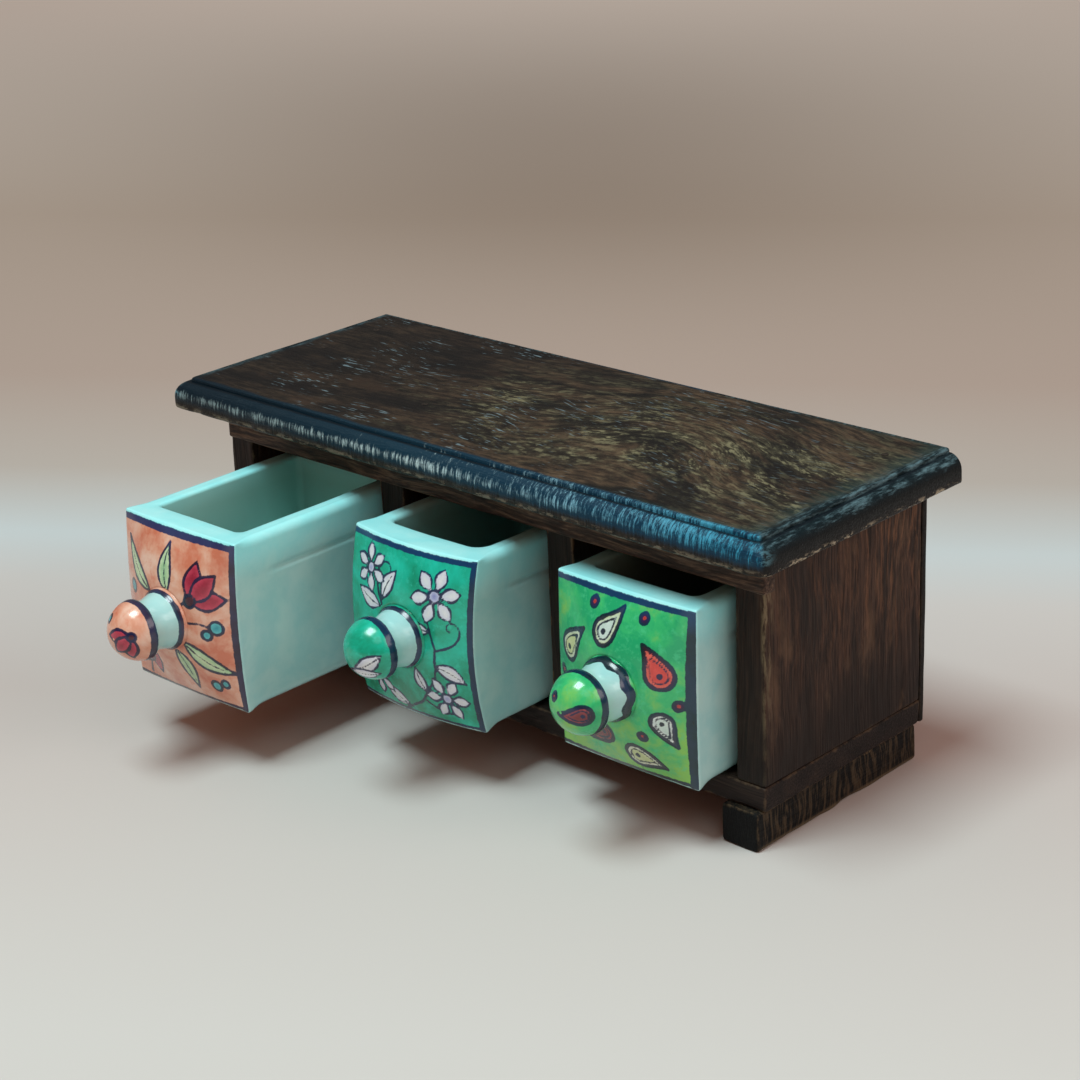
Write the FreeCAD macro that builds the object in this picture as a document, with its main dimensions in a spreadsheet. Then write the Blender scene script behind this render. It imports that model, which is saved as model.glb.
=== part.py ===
import FreeCAD, Part
import os
import Sketcher

# Small wooden chest with three glazed ceramic drawers.
# Built with the cabinet front at y = 0, drawers sliding out along -Y and the floor at z = 0.
# Every finished piece is then moved back by one frame shift, so the origin lies on the floor
# below the middle of the whole chest as it stands with its drawers drawn.

Vector = FreeCAD.Vector

# Driving dimensions in millimetres

SIZES = {
    # room round each drawer in its bay: on either side, above, below and behind when pushed home flush
    "bay_side_room": 5.17,
    "bay_head_room": 4.2,
    "bay_lift": 0.1,
    "bay_back_room": 3.5,
    # cabinet
    "base_thickness": 9.3,
    "side_thickness": 12.5,
    "partition_thickness": 12.5,
    "back_thickness": 3.0,
    "rail_height": 13.9,
    "rail_thickness": 6.2,
    "rail_front_reach": 0.6,
    "rail_end_reach": 0.5,
    "board_arris": 0.6,
    # foot strips
    "foot_height": 14.5,
    "foot_width": 16.0,
    "foot_side_inset": 1.3,
    "foot_front_reach": 2.6,
    "foot_back_inset": 2.7,
    # moulded top board
    "top_thickness": 12.0,
    "top_side_overhang": 13.0,
    "top_front_overhang": 16.8,
    "top_back_overhang": 1.2,
    "bead_step": 5.2,
    "bead_drop": 1.4,
    "bead_round": 5.5,
    "bead_under_round": 1.2,
    "bead_corner_round": 2.5,
    "plate_corner_round": 1.5,
    "plate_arris": 0.7,
    # ceramic drawers
    "drawer_width": 61.0,
    "drawer_height": 66.0,
    "drawer_depth": 86.0,
    "side_wall": 7.8,
    "front_wall": 9.8,
    "back_wall": 7.5,
    "floor_thickness": 5.5,
    "rear_corner_round": 6.0,
    "bottom_round": 4.8,
    "rim_outer_round": 3.2,
    "rim_inner_round": 2.8,
    "cavity_corner_round": 6.5,
    "cavity_floor_round": 5.0,
    "front_crown": 11.0,
    "groove_drop": 14.6,
    "groove_start": 15.5,
    "groove_radius": 2.4,
    "groove_depth": 0.8,
    # knob cast in one with its drawer
    "root_radius": 11.6,
    "root_length": 2.4,
    "neck_radius": 10.4,
    "neck_waist": 0.8,
    "neck_length": 8.4,
    "dome_radius": 11.6,
    "dome_length": 11.8,
    "dome_back_round": 0.7,
    # how far each drawer stands drawn
    "left_pull": 69.0,
    "middle_pull": 27.3,
    "right_pull": 15.4,
    # how far the middle of the painted front's edges bows forward of its corners
    "left_bow_across": 0.5,
    "left_bow_upright": 1.5,
    "middle_bow_across": 3.5,
    "middle_bow_upright": 4.5,
    "right_bow_across": 0.5,
    "right_bow_upright": 0.5,
    # brads
    "nail_radius": 0.7,
    "nail_head_radius": 1.3,
    "nail_head_thickness": 0.8,
    # how far brads bite into the upright behind the board that they hold
    "top_nail_bite": 12.0,
    "base_nail_bite": 11.7,
    "back_nail_bite": 11.0,
    "rail_nail_bite": 9.8,
    # room that cutting blocks run past what they cut
    "cut_overrun": 2.0,
}

# How far each drawer stands off the middle of its bay, as shares of the room beside it
PLAY_SHARES = {"left": 0.48, "middle": -0.35, "right": 0.31}

# How far the foot strips' brads bite into the base board, as a share of its thickness
FOOT_NAIL_BITE_SHARE = 0.6

# Where brads stand, as shares of the depth or height of the board they hold
TOP_NAIL_SHARES = (0.22, 0.52, 0.84)
BASE_NAIL_SHARES = (0.15, 0.5, 0.85)
FOOT_NAIL_SHARES = (0.3, 0.7)
BACK_NAIL_SHARES = (0.25, 0.75)

# How far the crowned front's patch runs, as a share of the drawer's own width and height
CROWN_PATCH_SHARE = 1.1

# Two places closer than this share of the boards' arris count as one place
MATCH_SHARE = 0.01

doc = FreeCAD.newDocument("drawer_chest")
sheet = doc.addObject("Spreadsheet::Sheet", "Sizes")
for row, (name, value) in enumerate(SIZES.items(), start=1):
    sheet.set("A%d" % row, name)
    sheet.set("B%d" % row, str(value))
    sheet.setAlias("B%d" % row, name)
doc.recompute()


def size(name):
    """A driving dimension read back from the sheet."""
    return float(getattr(sheet, name))


def formula(text):
    """Write the sheet's name before each driving dimension in a formula."""
    words = []
    word = ""
    for letter in text + " ":
        if letter.isalnum() or letter in "_.":
            word += letter
            continue
        words.append("Sizes." + word if word in SIZES else word)
        words.append(letter)
        word = ""
    return "".join(words).strip()


def bind(thing, **formulas):
    """Bind an object's sizes to formulas in the names of the driving dimensions."""
    for name, text in formulas.items():
        thing.setExpression(name, formula(text))


def place(thing, x="0", y="0", z="0"):
    """Bind an object's position to formulas."""
    for axis, text in zip("xyz", (x, y, z)):
        thing.setExpression(".Placement.Base." + axis, formula(text))


# Levels and places shared by the pieces, as formulas

BAY_WIDTH = "(drawer_width + 2 * bay_side_room)"
OPENING_HEIGHT = "(bay_lift + drawer_height + bay_head_room)"
PANEL_DEPTH = "(drawer_depth + bay_back_room)"
CABINET_WIDTH = "(3 * %s + 2 * side_thickness + 2 * partition_thickness)" % BAY_WIDTH
CABINET_DEPTH = "(%s + back_thickness)" % PANEL_DEPTH
BASE_TOP = "(foot_height + base_thickness)"
OPENING_TOP = "(%s + %s)" % (BASE_TOP, OPENING_HEIGHT)
TOP_UNDERSIDE = "(%s + rail_height)" % OPENING_TOP
SIDE_CENTRE = "((%s - side_thickness) / 2)" % CABINET_WIDTH
PARTITION_CENTRE = "((%s + partition_thickness) / 2)" % BAY_WIDTH
BAY_CENTRE = "(%s + partition_thickness)" % BAY_WIDTH
KNOB_REACH = "(front_crown + root_length + neck_length + dome_length)"
FRAME_SHIFT = "((left_pull + %s - %s - top_back_overhang) / 2)" % (KNOB_REACH, CABINET_DEPTH)

# Finished pieces by name, written out at the end
pieces = {}


def finish(name, thing, pull="0", across="0", lift="0"):
    """Name a finished piece and move it into the chest's frame."""
    thing.Label = name
    place(thing, across, "%s - %s" % (FRAME_SHIFT, pull), lift)
    pieces[name] = thing


def box(name, length, width, height, x, y, z):
    """A plain block, its corner at x, y, z."""
    block = doc.addObject("Part::Box", name)
    bind(block, Length=length, Width=width, Height=height)
    place(block, x, y, z)
    return block


def rounded(name, base, radius, picks=None):
    """Round all edges of a solid, or those that a test picks."""
    doc.recompute()
    result = doc.addObject("Part::Fillet", name)
    result.Base = base
    chosen = range(1, len(base.Shape.Edges) + 1)
    if picks is not None:
        chosen = [n for n in chosen if picks(base.Shape.Edges[n - 1])]
    result.Edges = [(n, size(radius), size(radius)) for n in chosen]
    return result


def cut(name, base, *tools):
    """Take the tools out of a solid, one after the other."""
    result = base
    for number, tool in enumerate(tools):
        step = doc.addObject("Part::Cut", "%s_cut_%d" % (name, number))
        step.Base = result
        step.Tool = tool
        result = step
    return result


# Brads: each a thin shank with a flat head, in groups that share a direction


def nail(name, x, y, z, length, turn):
    """A brad with its head's face at x, y, z, running the way that the turn points +Z."""
    shank = doc.addObject("Part::Cylinder", name + "_shank")
    head = doc.addObject("Part::Cylinder", name + "_head")
    bind(shank, Radius="nail_radius", Height=length)
    bind(head, Radius="nail_head_radius", Height="nail_head_thickness")
    for part in (shank, head):
        part.Placement.Rotation = turn
        place(part, x, y, z)
    return [shank, head]


def nail_group(name, spots, length, turn):
    """One group of equal brads."""
    solids = []
    for number, (x, y, z) in enumerate(spots):
        solids += nail("%s_%d" % (name, number), x, y, z, length, turn)
    group = doc.addObject("Part::MultiFuse", name)
    group.Shapes = solids
    return group


DOWN = FreeCAD.Rotation(Vector(1, 0, 0), 180)
UP = FreeCAD.Rotation()
REARWARD = FreeCAD.Rotation(Vector(1, 0, 0), -90)
FORWARD = FreeCAD.Rotation(Vector(1, 0, 0), 90)

UPRIGHT_CENTRES = ("-" + SIDE_CENTRE, "-" + PARTITION_CENTRE, PARTITION_CENTRE, SIDE_CENTRE)
TOP_FACE = "(%s + top_thickness)" % TOP_UNDERSIDE
FOOT_CENTRE = "((%s - foot_width) / 2 - foot_side_inset)" % CABINET_WIDTH


def spots_in_depth(centres, shares, z):
    """Places along each upright's length from front to back, at one level."""
    return [(x, "%g * %s" % (share, PANEL_DEPTH), z) for x in centres for share in shares]


FOOT_CENTRES = ("-" + FOOT_CENTRE, FOOT_CENTRE)
top_spots = spots_in_depth(UPRIGHT_CENTRES, TOP_NAIL_SHARES, TOP_FACE)
base_spots = spots_in_depth(UPRIGHT_CENTRES, BASE_NAIL_SHARES, "foot_height")
foot_spots = spots_in_depth(FOOT_CENTRES, FOOT_NAIL_SHARES, "0")
back_levels = ["%s + %g * %s" % (BASE_TOP, share, OPENING_HEIGHT) for share in BACK_NAIL_SHARES]
back_spots = [(x, CABINET_DEPTH, level) for x in UPRIGHT_CENTRES for level in back_levels]
rail_spots = [(x, "-rail_front_reach", OPENING_TOP + " + rail_height / 2") for x in UPRIGHT_CENTRES]

foot_nail_length = "foot_height + %g * base_thickness" % FOOT_NAIL_BITE_SHARE
top_nails = nail_group("top_nail_group", top_spots, "top_thickness + top_nail_bite", DOWN)
base_nails = nail_group("base_nail_group", base_spots, "base_thickness + base_nail_bite", UP)
foot_nails = nail_group("foot_nail_group", foot_spots, foot_nail_length, UP)
back_nails = nail_group("back_nail_group", back_spots, "back_thickness + back_nail_bite", FORWARD)
rail_nails = nail_group("rail_nail_group", rail_spots, "rail_thickness + rail_nail_bite", REARWARD)

# Base board and foot strips

base_block = box(
    "base_block",
    CABINET_WIDTH,
    PANEL_DEPTH,
    "base_thickness",
    "-%s / 2" % CABINET_WIDTH,
    "0",
    "foot_height",
)
base_board = cut("base_board", rounded("base_soft", base_block, "board_arris"), base_nails, foot_nails)
finish("base_board", base_board)

FOOT_LENGTH = "(%s + foot_front_reach - foot_back_inset)" % CABINET_DEPTH
for side, centre in zip(("left", "right"), FOOT_CENTRES):
    edge = centre + " - foot_width / 2"
    front = "-foot_front_reach"
    strip = box("foot_block_" + side, "foot_width", FOOT_LENGTH, "foot_height", edge, front, "0")
    foot = cut("foot_" + side, rounded("foot_soft_" + side, strip, "board_arris"), foot_nails)
    finish("foot_" + side, foot)

# Side panels and partitions: full height, notched at the front for the rail

UPRIGHT_HEIGHT = "(%s + rail_height)" % OPENING_HEIGHT


def upright(name, thickness, centre):
    """A vertical panel on the base board with the rail's notch in its upper front corner."""
    edge = "%s - %s / 2" % (centre, thickness)
    panel = box(name + "_panel", thickness, PANEL_DEPTH, UPRIGHT_HEIGHT, edge, "0", BASE_TOP)
    notch = box(
        name + "_notch",
        thickness + " + 2 * cut_overrun",
        "rail_thickness - rail_front_reach + cut_overrun",
        "rail_height + cut_overrun",
        edge + " - cut_overrun",
        "-cut_overrun",
        OPENING_TOP,
    )
    soft = rounded(name + "_soft", panel, "board_arris")
    finish(name, cut(name, soft, notch, top_nails, base_nails, back_nails, rail_nails))


for name, thickness, centre in (
    ("side_panel_left", "side_thickness", "-" + SIDE_CENTRE),
    ("side_panel_right", "side_thickness", SIDE_CENTRE),
    ("partition_left", "partition_thickness", "-" + PARTITION_CENTRE),
    ("partition_right", "partition_thickness", PARTITION_CENTRE),
):
    upright(name, thickness, centre)

# Front rail across the top of the openings, and the back panel behind all of it

rail_block = box(
    "rail_block",
    CABINET_WIDTH + " + 2 * rail_end_reach",
    "rail_thickness",
    "rail_height",
    "-%s / 2 - rail_end_reach" % CABINET_WIDTH,
    "-rail_front_reach",
    OPENING_TOP,
)
front_rail = cut("front_rail", rounded("rail_soft", rail_block, "board_arris"), rail_nails)
finish("front_rail", front_rail)

back_block = box(
    "back_block",
    CABINET_WIDTH,
    "back_thickness",
    "base_thickness + " + UPRIGHT_HEIGHT,
    "-%s / 2" % CABINET_WIDTH,
    PANEL_DEPTH,
    "foot_height",
)
back_panel = cut("back_panel", rounded("back_soft", back_block, "board_arris"), back_nails)
finish("back_panel", back_panel)


# Sketch helpers for the bodies that are padded and pocketed


def plane(body, role):
    """One of a body's own origin planes."""
    return next(item for item in body.Origin.OriginFeatures if item.Role == role)


def sketched_rectangle(body, name, left, right, front, back, height="0"):
    """A rectangle on the body's floor plane, each side bound to a formula for its place."""
    sketch = body.newObject("Sketcher::SketchObject", name)
    sketch.AttachmentSupport = (plane(body, "XY_Plane"), [""])
    sketch.MapMode = "FlatFace"
    sketch.setExpression(".AttachmentOffset.Base.z", formula(height))
    reach = size("cut_overrun")
    corners = [Vector(x * reach, y * reach, 0) for x, y in ((-1, -1), (1, -1), (1, 1), (-1, 1))]
    for number, corner in enumerate(corners):
        sketch.addGeometry(Part.LineSegment(corner, corners[(number + 1) % len(corners)]), False)
    for number in range(len(corners)):
        sketch.addConstraint(Sketcher.Constraint("Coincident", number, 2, (number + 1) % len(corners), 1))
    for number, kind in enumerate(("Horizontal", "Vertical", "Horizontal", "Vertical")):
        sketch.addConstraint(Sketcher.Constraint(kind, number))
    for kind, point, text in (
        ("DistanceX", (0, 1), left),
        ("DistanceX", (1, 1), right),
        ("DistanceY", (0, 1), front),
        ("DistanceY", (2, 1), back),
    ):
        start = getattr(sketch.Geometry[point[0]].StartPoint, kind[-1].lower())
        number = sketch.addConstraint(Sketcher.Constraint(kind, -1, 1, point[0], point[1], start))
        sketch.setExpression("Constraints[%d]" % number, formula(text))
    doc.recompute()
    return sketch


def pad(body, name, sketch, length):
    """Pad a sketch upwards."""
    feature = body.newObject("PartDesign::Pad", name)
    feature.Profile = sketch
    feature.setExpression("Length", formula(length))
    doc.recompute()
    return feature


def pocket(body, name, sketch, length):
    """Pocket a sketch downwards, and make sure that it took material away."""
    before = body.Shape.Volume
    feature = body.newObject("PartDesign::Pocket", name)
    feature.Profile = sketch
    feature.setExpression("Length", formula(length))
    doc.recompute()
    if feature.Shape.Volume >= before:
        raise RuntimeError(name + " cut nothing")
    return feature


def fillet(body, name, radius, picks):
    """Round the edges that a test picks from their own limits and those of the whole body."""
    last = body.Tip
    whole = last.Shape.BoundBox
    numbered = enumerate(last.Shape.Edges, start=1)
    edges = ["Edge%d" % n for n, edge in numbered if picks(edge.BoundBox, whole)]
    feature = body.newObject("PartDesign::Fillet", name)
    feature.Base = (last, edges)
    feature.setExpression("Radius", formula(radius))
    doc.recompute()
    return feature


def near(one, other):
    """Two lengths that are the same place."""
    return abs(one - other) < MATCH_SHARE * size("board_arris")


# Moulded top board: a slab with a rounded bead on its front and both ends,
# and a flat plate on it that stands back from the bead by a small step



def front_corner(b, whole):
    """An upright edge at the front."""
    return near(b.YMax, whole.YMin) and near(b.ZLength, whole.ZLength)


def upper_edge(b, whole):
    """An edge round the top, but for the one along the back."""
    return near(b.ZMin, whole.ZMax) and not near(b.YMin, whole.YMax)


def lower_edge(b, whole):
    """An edge round the underside, but for the one along the back."""
    return near(b.ZMax, whole.ZMin) and not near(b.YMin, whole.YMax)


TOP_END = "(%s / 2 + top_side_overhang)" % CABINET_WIDTH
TOP_BACK = "%s + top_back_overhang" % CABINET_DEPTH

bead = doc.addObject("PartDesign::Body", "bead_body")
bead_outline = sketched_rectangle(
    bead,
    "bead_outline",
    "-" + TOP_END,
    TOP_END,
    "-top_front_overhang",
    TOP_BACK,
)
pad(bead, "bead_slab", bead_outline, "top_thickness - bead_drop")
fillet(bead, "bead_corners", "bead_corner_round", front_corner)
fillet(bead, "bead_top", "bead_round", upper_edge)
fillet(bead, "bead_under", "bead_under_round", lower_edge)

plate = doc.addObject("PartDesign::Body", "plate_body")
plate_outline = sketched_rectangle(
    plate,
    "plate_outline",
    "-%s + bead_step" % TOP_END,
    "%s - bead_step" % TOP_END,
    "-top_front_overhang + bead_step",
    TOP_BACK,
)
pad(plate, "plate_slab", plate_outline, "top_thickness")
fillet(plate, "plate_corners", "plate_corner_round", front_corner)
fillet(plate, "plate_edge", "plate_arris", upper_edge)

moulded = doc.addObject("Part::Fuse", "moulded_board")
moulded.Base = bead
moulded.Tool = plate
place(moulded, z=TOP_UNDERSIDE)
finish("top_board", cut("top_board", moulded, top_nails))

# The brads themselves: each group again, as a finished piece that moves with the rest

for name, group in (
    ("top_nails", top_nails),
    ("base_nails", base_nails),
    ("foot_nails", foot_nails),
    ("back_nails", back_nails),
    ("rail_nails", rail_nails),
):
    brads = doc.addObject("Part::Compound", name)
    brads.Links = [group]
    finish(name, brads)

# Ceramic drawers, each in its own frame: x = 0 on its middle, y = 0 on the plane of the
# painted front's corners, z = 0 on its underside


def rear_corner(b, whole):
    """An upright edge at the back."""
    return near(b.YMin, whole.YMax) and near(b.ZLength, whole.ZLength)


def lower_edge_behind_front(b, whole):
    """An edge round the underside, but for the one that is trimmed off with the front."""
    return near(b.ZMax, whole.ZMin) and b.YMax > 0


def rim_outer_edge(b, whole):
    """An edge round the rim's outside, but for the one that is trimmed off with the front."""
    return near(b.ZMin, whole.ZMax) and b.YMax > 0


def in_cavity(b, whole):
    """An edge inside the drawer or round its mouth."""
    mouth = size("drawer_width") / 2 - size("side_wall") + size("rim_inner_round")
    return max(-b.XMin, b.XMax) < mouth and b.YMin > 0 and not near(b.YMax, whole.YMax)


def cavity_corner(b, whole):
    """An upright edge in the cavity."""
    return in_cavity(b, whole) and near(b.XLength, 0) and near(b.YLength, 0)


def cavity_floor_edge(b, whole):
    """An edge round the cavity's floor."""
    return in_cavity(b, whole) and near(b.ZMax, size("floor_thickness"))


def rim_inner_edge(b, whole):
    """An edge round the cavity's mouth."""
    return in_cavity(b, whole) and near(b.ZMin, whole.ZMax)


def drawer_shell(side):
    """A thick-walled box, open above, that runs forward past its front to be trimmed."""
    shell = doc.addObject("PartDesign::Body", "drawer_shell_" + side)
    outline = sketched_rectangle(
        shell,
        "drawer_outline_" + side,
        "-drawer_width / 2",
        "drawer_width / 2",
        "-front_crown - cut_overrun",
        "drawer_depth",
    )
    pad(shell, "drawer_block_" + side, outline, "drawer_height")
    fillet(shell, "rear_corners_" + side, "rear_corner_round", rear_corner)
    fillet(shell, "underside_edge_" + side, "bottom_round", lower_edge_behind_front)
    fillet(shell, "rim_outside_" + side, "rim_outer_round", rim_outer_edge)
    inside = sketched_rectangle(
        shell,
        "cavity_outline_" + side,
        "-drawer_width / 2 + side_wall",
        "drawer_width / 2 - side_wall",
        "front_wall",
        "drawer_depth - back_wall",
        "drawer_height",
    )
    pocket(shell, "cavity_" + side, inside, "drawer_height - floor_thickness")
    fillet(shell, "cavity_corners_" + side, "cavity_corner_round", cavity_corner)
    fillet(shell, "cavity_floor_" + side, "cavity_floor_round", cavity_floor_edge)
    fillet(shell, "rim_inside_" + side, "rim_inner_round", rim_inner_edge)
    return shell


def crowned_front(side):
    """A solid whose front is a cushion: a doubly curved patch drawn back through the drawer.

    The patch is a product of parabolas, so three rows of three poles hold it exactly."""
    across = size(side + "_bow_across")
    upright_bow = size(side + "_bow_upright")
    rest = size("front_crown") - across - upright_bow
    reach = CROWN_PATCH_SHARE
    levels = (1 - reach ** 2, 1 + reach ** 2, 1 - reach ** 2)
    places = (-reach, 0, reach)
    patch = Part.BezierSurface()
    patch.increase(2, 2)
    for column, (u, u_level) in enumerate(zip(places, levels), start=1):
        for row, (v, v_level) in enumerate(zip(places, levels), start=1):
            rise = across * u_level + upright_bow * v_level + rest * u_level * v_level
            x = u * size("drawer_width") / 2
            z = (1 + v) * size("drawer_height") / 2
            patch.setPole(column, row, Vector(x, -rise, z))
    depth = size("drawer_depth") + size("front_crown") + size("cut_overrun")
    form = doc.addObject("Part::Feature", "drawer_front_form_" + side)
    form.Shape = patch.toShape().extrude(Vector(0, depth, 0))
    return form


def groove_tool(side, hand):
    """A rod that leaves a shallow channel along the outside of a side wall."""
    rod = doc.addObject("Part::Cylinder", "groove_%s_%s" % (side, "left" if hand < 0 else "right"))
    bind(rod, Radius="groove_radius", Height="drawer_depth")
    rod.Placement.Rotation = REARWARD
    place(
        rod,
        "%d * (drawer_width / 2 + groove_radius - groove_depth)" % hand,
        "groove_start",
        "drawer_height - groove_drop",
    )
    return rod


def knob(side):
    """A domed knob on a waisted neck with a flared root, along -Y from the crown of the front."""
    centre = "drawer_height / 2"
    root = doc.addObject("Part::Cone", "knob_root_" + side)
    bind(root, Radius1="root_radius", Radius2="neck_radius", Height="root_length")
    seat = doc.addObject("Part::Cylinder", "knob_seat_" + side)
    bind(seat, Radius="root_radius", Height="front_crown / 2 + cut_overrun")
    neck = doc.addObject("Part::Cylinder", "knob_neck_rod_" + side)
    bind(neck, Radius="neck_radius", Height="neck_length + dome_length / 2")
    waist_radius = "((neck_length ^ 2 / 4 + neck_waist ^ 2) / (2 * neck_waist))"
    waist = doc.addObject("Part::Torus", "knob_waist_" + side)
    bind(waist, Radius1="neck_radius - neck_waist + " + waist_radius, Radius2=waist_radius)
    dome = doc.addObject("Part::Ellipsoid", "knob_dome_form_" + side)
    bind(dome, Radius1="dome_length", Radius2="dome_radius", Radius3="dome_radius")
    dome.Angle1 = 0
    dome.Angle2 = 90
    places = (
        (seat, "front_crown / 2 + cut_overrun - front_crown"),
        (root, "-front_crown"),
        (neck, "-front_crown - root_length"),
        (waist, "-front_crown - root_length - neck_length / 2"),
        (dome, "-front_crown - root_length - neck_length"),
    )
    for thing, y in places:
        thing.Placement.Rotation = FORWARD
        place(thing, "0", y, centre)
    soft_dome = rounded(
        "knob_dome_" + side,
        dome,
        "dome_back_round",
        lambda edge: near(edge.BoundBox.YLength, 0),
    )
    return [seat, root, cut("knob_neck_" + side, neck, waist), soft_dome]


def drawer(side, across):
    """One drawer with its crowned front, side grooves and knob."""
    trimmed = doc.addObject("Part::Common", "drawer_trimmed_" + side)
    trimmed.Base = drawer_shell(side)
    trimmed.Tool = crowned_front(side)
    grooved = cut("drawer_grooved_" + side, trimmed, groove_tool(side, -1), groove_tool(side, 1))
    whole = doc.addObject("Part::MultiFuse", "drawer_whole_" + side)
    whole.Shapes = [grooved] + knob(side)
    finish(
        "drawer_" + side,
        whole,
        pull=side + "_pull",
        across="%s + %g * bay_side_room" % (across, PLAY_SHARES[side]),
        lift=BASE_TOP + " + bay_lift",
    )


for side, across in (("left", "-" + BAY_CENTRE), ("middle", "0"), ("right", BAY_CENTRE)):
    drawer(side, across)

doc.recompute()

# Check every object, then write each piece

for thing in doc.Objects:
    if "Invalid" in thing.State or "Error" in thing.State:
        raise RuntimeError("%s did not build: %s" % (thing.Name, thing.State))
for name, thing in pieces.items():
    if thing.Shape.isNull() or not thing.Shape.isValid():
        raise RuntimeError(name + " has no sound shape")

os.makedirs("parts", exist_ok=True)
for name, thing in pieces.items():
    thing.Shape.exportStep("parts/%s.step" % name)
    limits = thing.Shape.optimalBoundingBox()
    print(
        "%-18s solids %2d volume %10.1f  x %7.2f %7.2f  y %7.2f %7.2f  z %7.2f %7.2f"
        % (
            name,
            len(thing.Shape.Solids),
            thing.Shape.Volume,
            limits.XMin,
            limits.XMax,
            limits.YMin,
            limits.YMax,
            limits.ZMin,
            limits.ZMax,
        )
    )
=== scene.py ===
from math import cos, dist, pi, radians, sin

import bpy
import numpy as np
from mathutils import Matrix, Vector


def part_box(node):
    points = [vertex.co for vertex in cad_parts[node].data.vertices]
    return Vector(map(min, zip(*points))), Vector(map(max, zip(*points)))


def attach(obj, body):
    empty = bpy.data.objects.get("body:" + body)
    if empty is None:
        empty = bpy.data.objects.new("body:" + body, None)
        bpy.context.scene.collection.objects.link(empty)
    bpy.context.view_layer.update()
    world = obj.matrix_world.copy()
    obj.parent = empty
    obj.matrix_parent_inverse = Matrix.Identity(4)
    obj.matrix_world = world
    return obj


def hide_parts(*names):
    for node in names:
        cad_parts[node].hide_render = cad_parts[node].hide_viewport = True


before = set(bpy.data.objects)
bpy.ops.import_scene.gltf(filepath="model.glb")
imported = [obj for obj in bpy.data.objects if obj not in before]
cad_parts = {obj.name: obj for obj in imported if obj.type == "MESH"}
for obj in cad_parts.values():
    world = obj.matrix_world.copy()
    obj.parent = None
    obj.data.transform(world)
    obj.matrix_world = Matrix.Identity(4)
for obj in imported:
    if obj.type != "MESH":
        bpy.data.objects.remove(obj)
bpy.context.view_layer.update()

MM = 0.001


# Colours and small fields

def rgb(red, green, blue):
    """A display colour of 0 to 255 as the linear colour that a shader takes."""
    parts = [c / 255 for c in (red, green, blue)]
    return tuple(c / 12.92 if c <= 0.04045 else ((c + 0.055) / 1.055) ** 2.4 for c in parts) + (1.0,)


def smooth(values):
    """A soft step from 0 at 0 to 1 at 1."""
    held = np.clip(values, 0, 1)
    return held * held * (3 - 2 * held)


def wobble(points, size, seed):
    """A smooth random field over points, about -1 to 1, whose bumps are about size across."""
    rng = np.random.default_rng(seed)
    total = np.zeros(len(points))
    for _ in range(8):
        way = rng.normal(size=3)
        way /= np.linalg.norm(way)
        pace = 2 * pi / size * rng.uniform(0.55, 1.6)
        total += np.sin(points @ way * pace + rng.uniform(0, 6.28))
    return np.clip(total / 4.2, -1, 1)


# Closed skins: a lower sheet, rings up its border, an upper sheet

def belts(rings):
    """The four-sided faces between every closed ring of points and the next."""
    after = np.roll(rings, -1, axis=1)
    return np.stack([rings[:-1], after[:-1], after[1:], rings[1:]], 2)


def skin(xs, ys, place, count):
    """Points, faces and border places of a closed skin; place(u, v, k) gives the points of ring k."""
    nx, ny = len(xs), len(ys)
    edge = [(i, 0) for i in range(nx)]
    edge += [(nx - 1, j) for j in range(1, ny)]
    edge += [(i, ny - 1) for i in range(nx - 2, -1, -1)]
    edge += [(0, j) for j in range(ny - 2, 0, -1)]
    edge = np.array(edge)
    around = len(edge)
    eu, ev = xs[edge[:, 0]], ys[edge[:, 1]]
    gu, gv = (part.ravel() for part in np.meshgrid(xs, ys, indexing="ij"))
    size = np.maximum(np.abs(gu), np.abs(gv))
    held = np.where(size > 1e-6, size, 1)
    su = np.where(size > 1e-6, gu / held, 1.0)
    sv = np.where(size > 1e-6, gv / held, 0.0)

    def sheet(k):
        rim = place(su, sv, k)
        middle = (rim.min(axis=0) + rim.max(axis=0)) / 2
        return middle + (rim - middle) * size[:, None]

    inner = [place(eu, ev, k) for k in range(1, count - 1)]
    points = np.concatenate([sheet(0)] + inner + [sheet(count - 1)])
    ring = np.zeros((count, around), int)
    ring[0] = edge[:, 0] * ny + edge[:, 1]
    for k in range(1, count - 1):
        ring[k] = nx * ny + (k - 1) * around + np.arange(around)
    upper = nx * ny + (count - 2) * around
    ring[-1] = upper + ring[0]
    cells = np.arange(nx * ny).reshape(nx, ny)
    corners = cells[:-1, :-1], cells[:-1, 1:], cells[1:, 1:], cells[1:, :-1]
    a, b, c, d = (part.ravel() for part in corners)
    lower_faces = np.stack([a, b, c, d], 1)
    upper_faces = upper + np.stack([a, d, c, b], 1)
    grid = {"size": size, "eu": eu, "ev": ev, "upper": upper}
    return points, lower_faces, belts(ring), upper_faces, ring, grid


def placed(name, data):
    """A new object with this mesh, lamp or camera, in the scene."""
    made = bpy.data.objects.new(name, data)
    bpy.context.scene.collection.objects.link(made)
    return made


def build(name, points, faces, fields, material, node, body, slot):
    """Makes the piece in metres, with its point fields, and ties it to the frame."""
    used = np.zeros(len(points), bool)
    for group in faces:
        used[group.ravel()] = True
    index = np.cumsum(used) - 1
    lists = [row for group in faces for row in index[group].tolist()]
    mesh = bpy.data.meshes.new(name)
    mesh.from_pydata((points[used] * MM).tolist(), [], lists)
    for key, values in fields.items():
        kept = np.asarray(values, float)[used]
        kind, part = ("FLOAT_COLOR", "color") if kept.ndim == 2 else ("FLOAT", "value")
        mesh.attributes.new(key, kind, "POINT").data.foreach_set(part, kept.ravel())
    mesh.polygons.foreach_set("use_smooth", [True] * len(mesh.polygons))
    mesh.materials.append(material)
    mesh.update()
    piece = placed(name, mesh)
    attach(piece, body)
    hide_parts(node)


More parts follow.
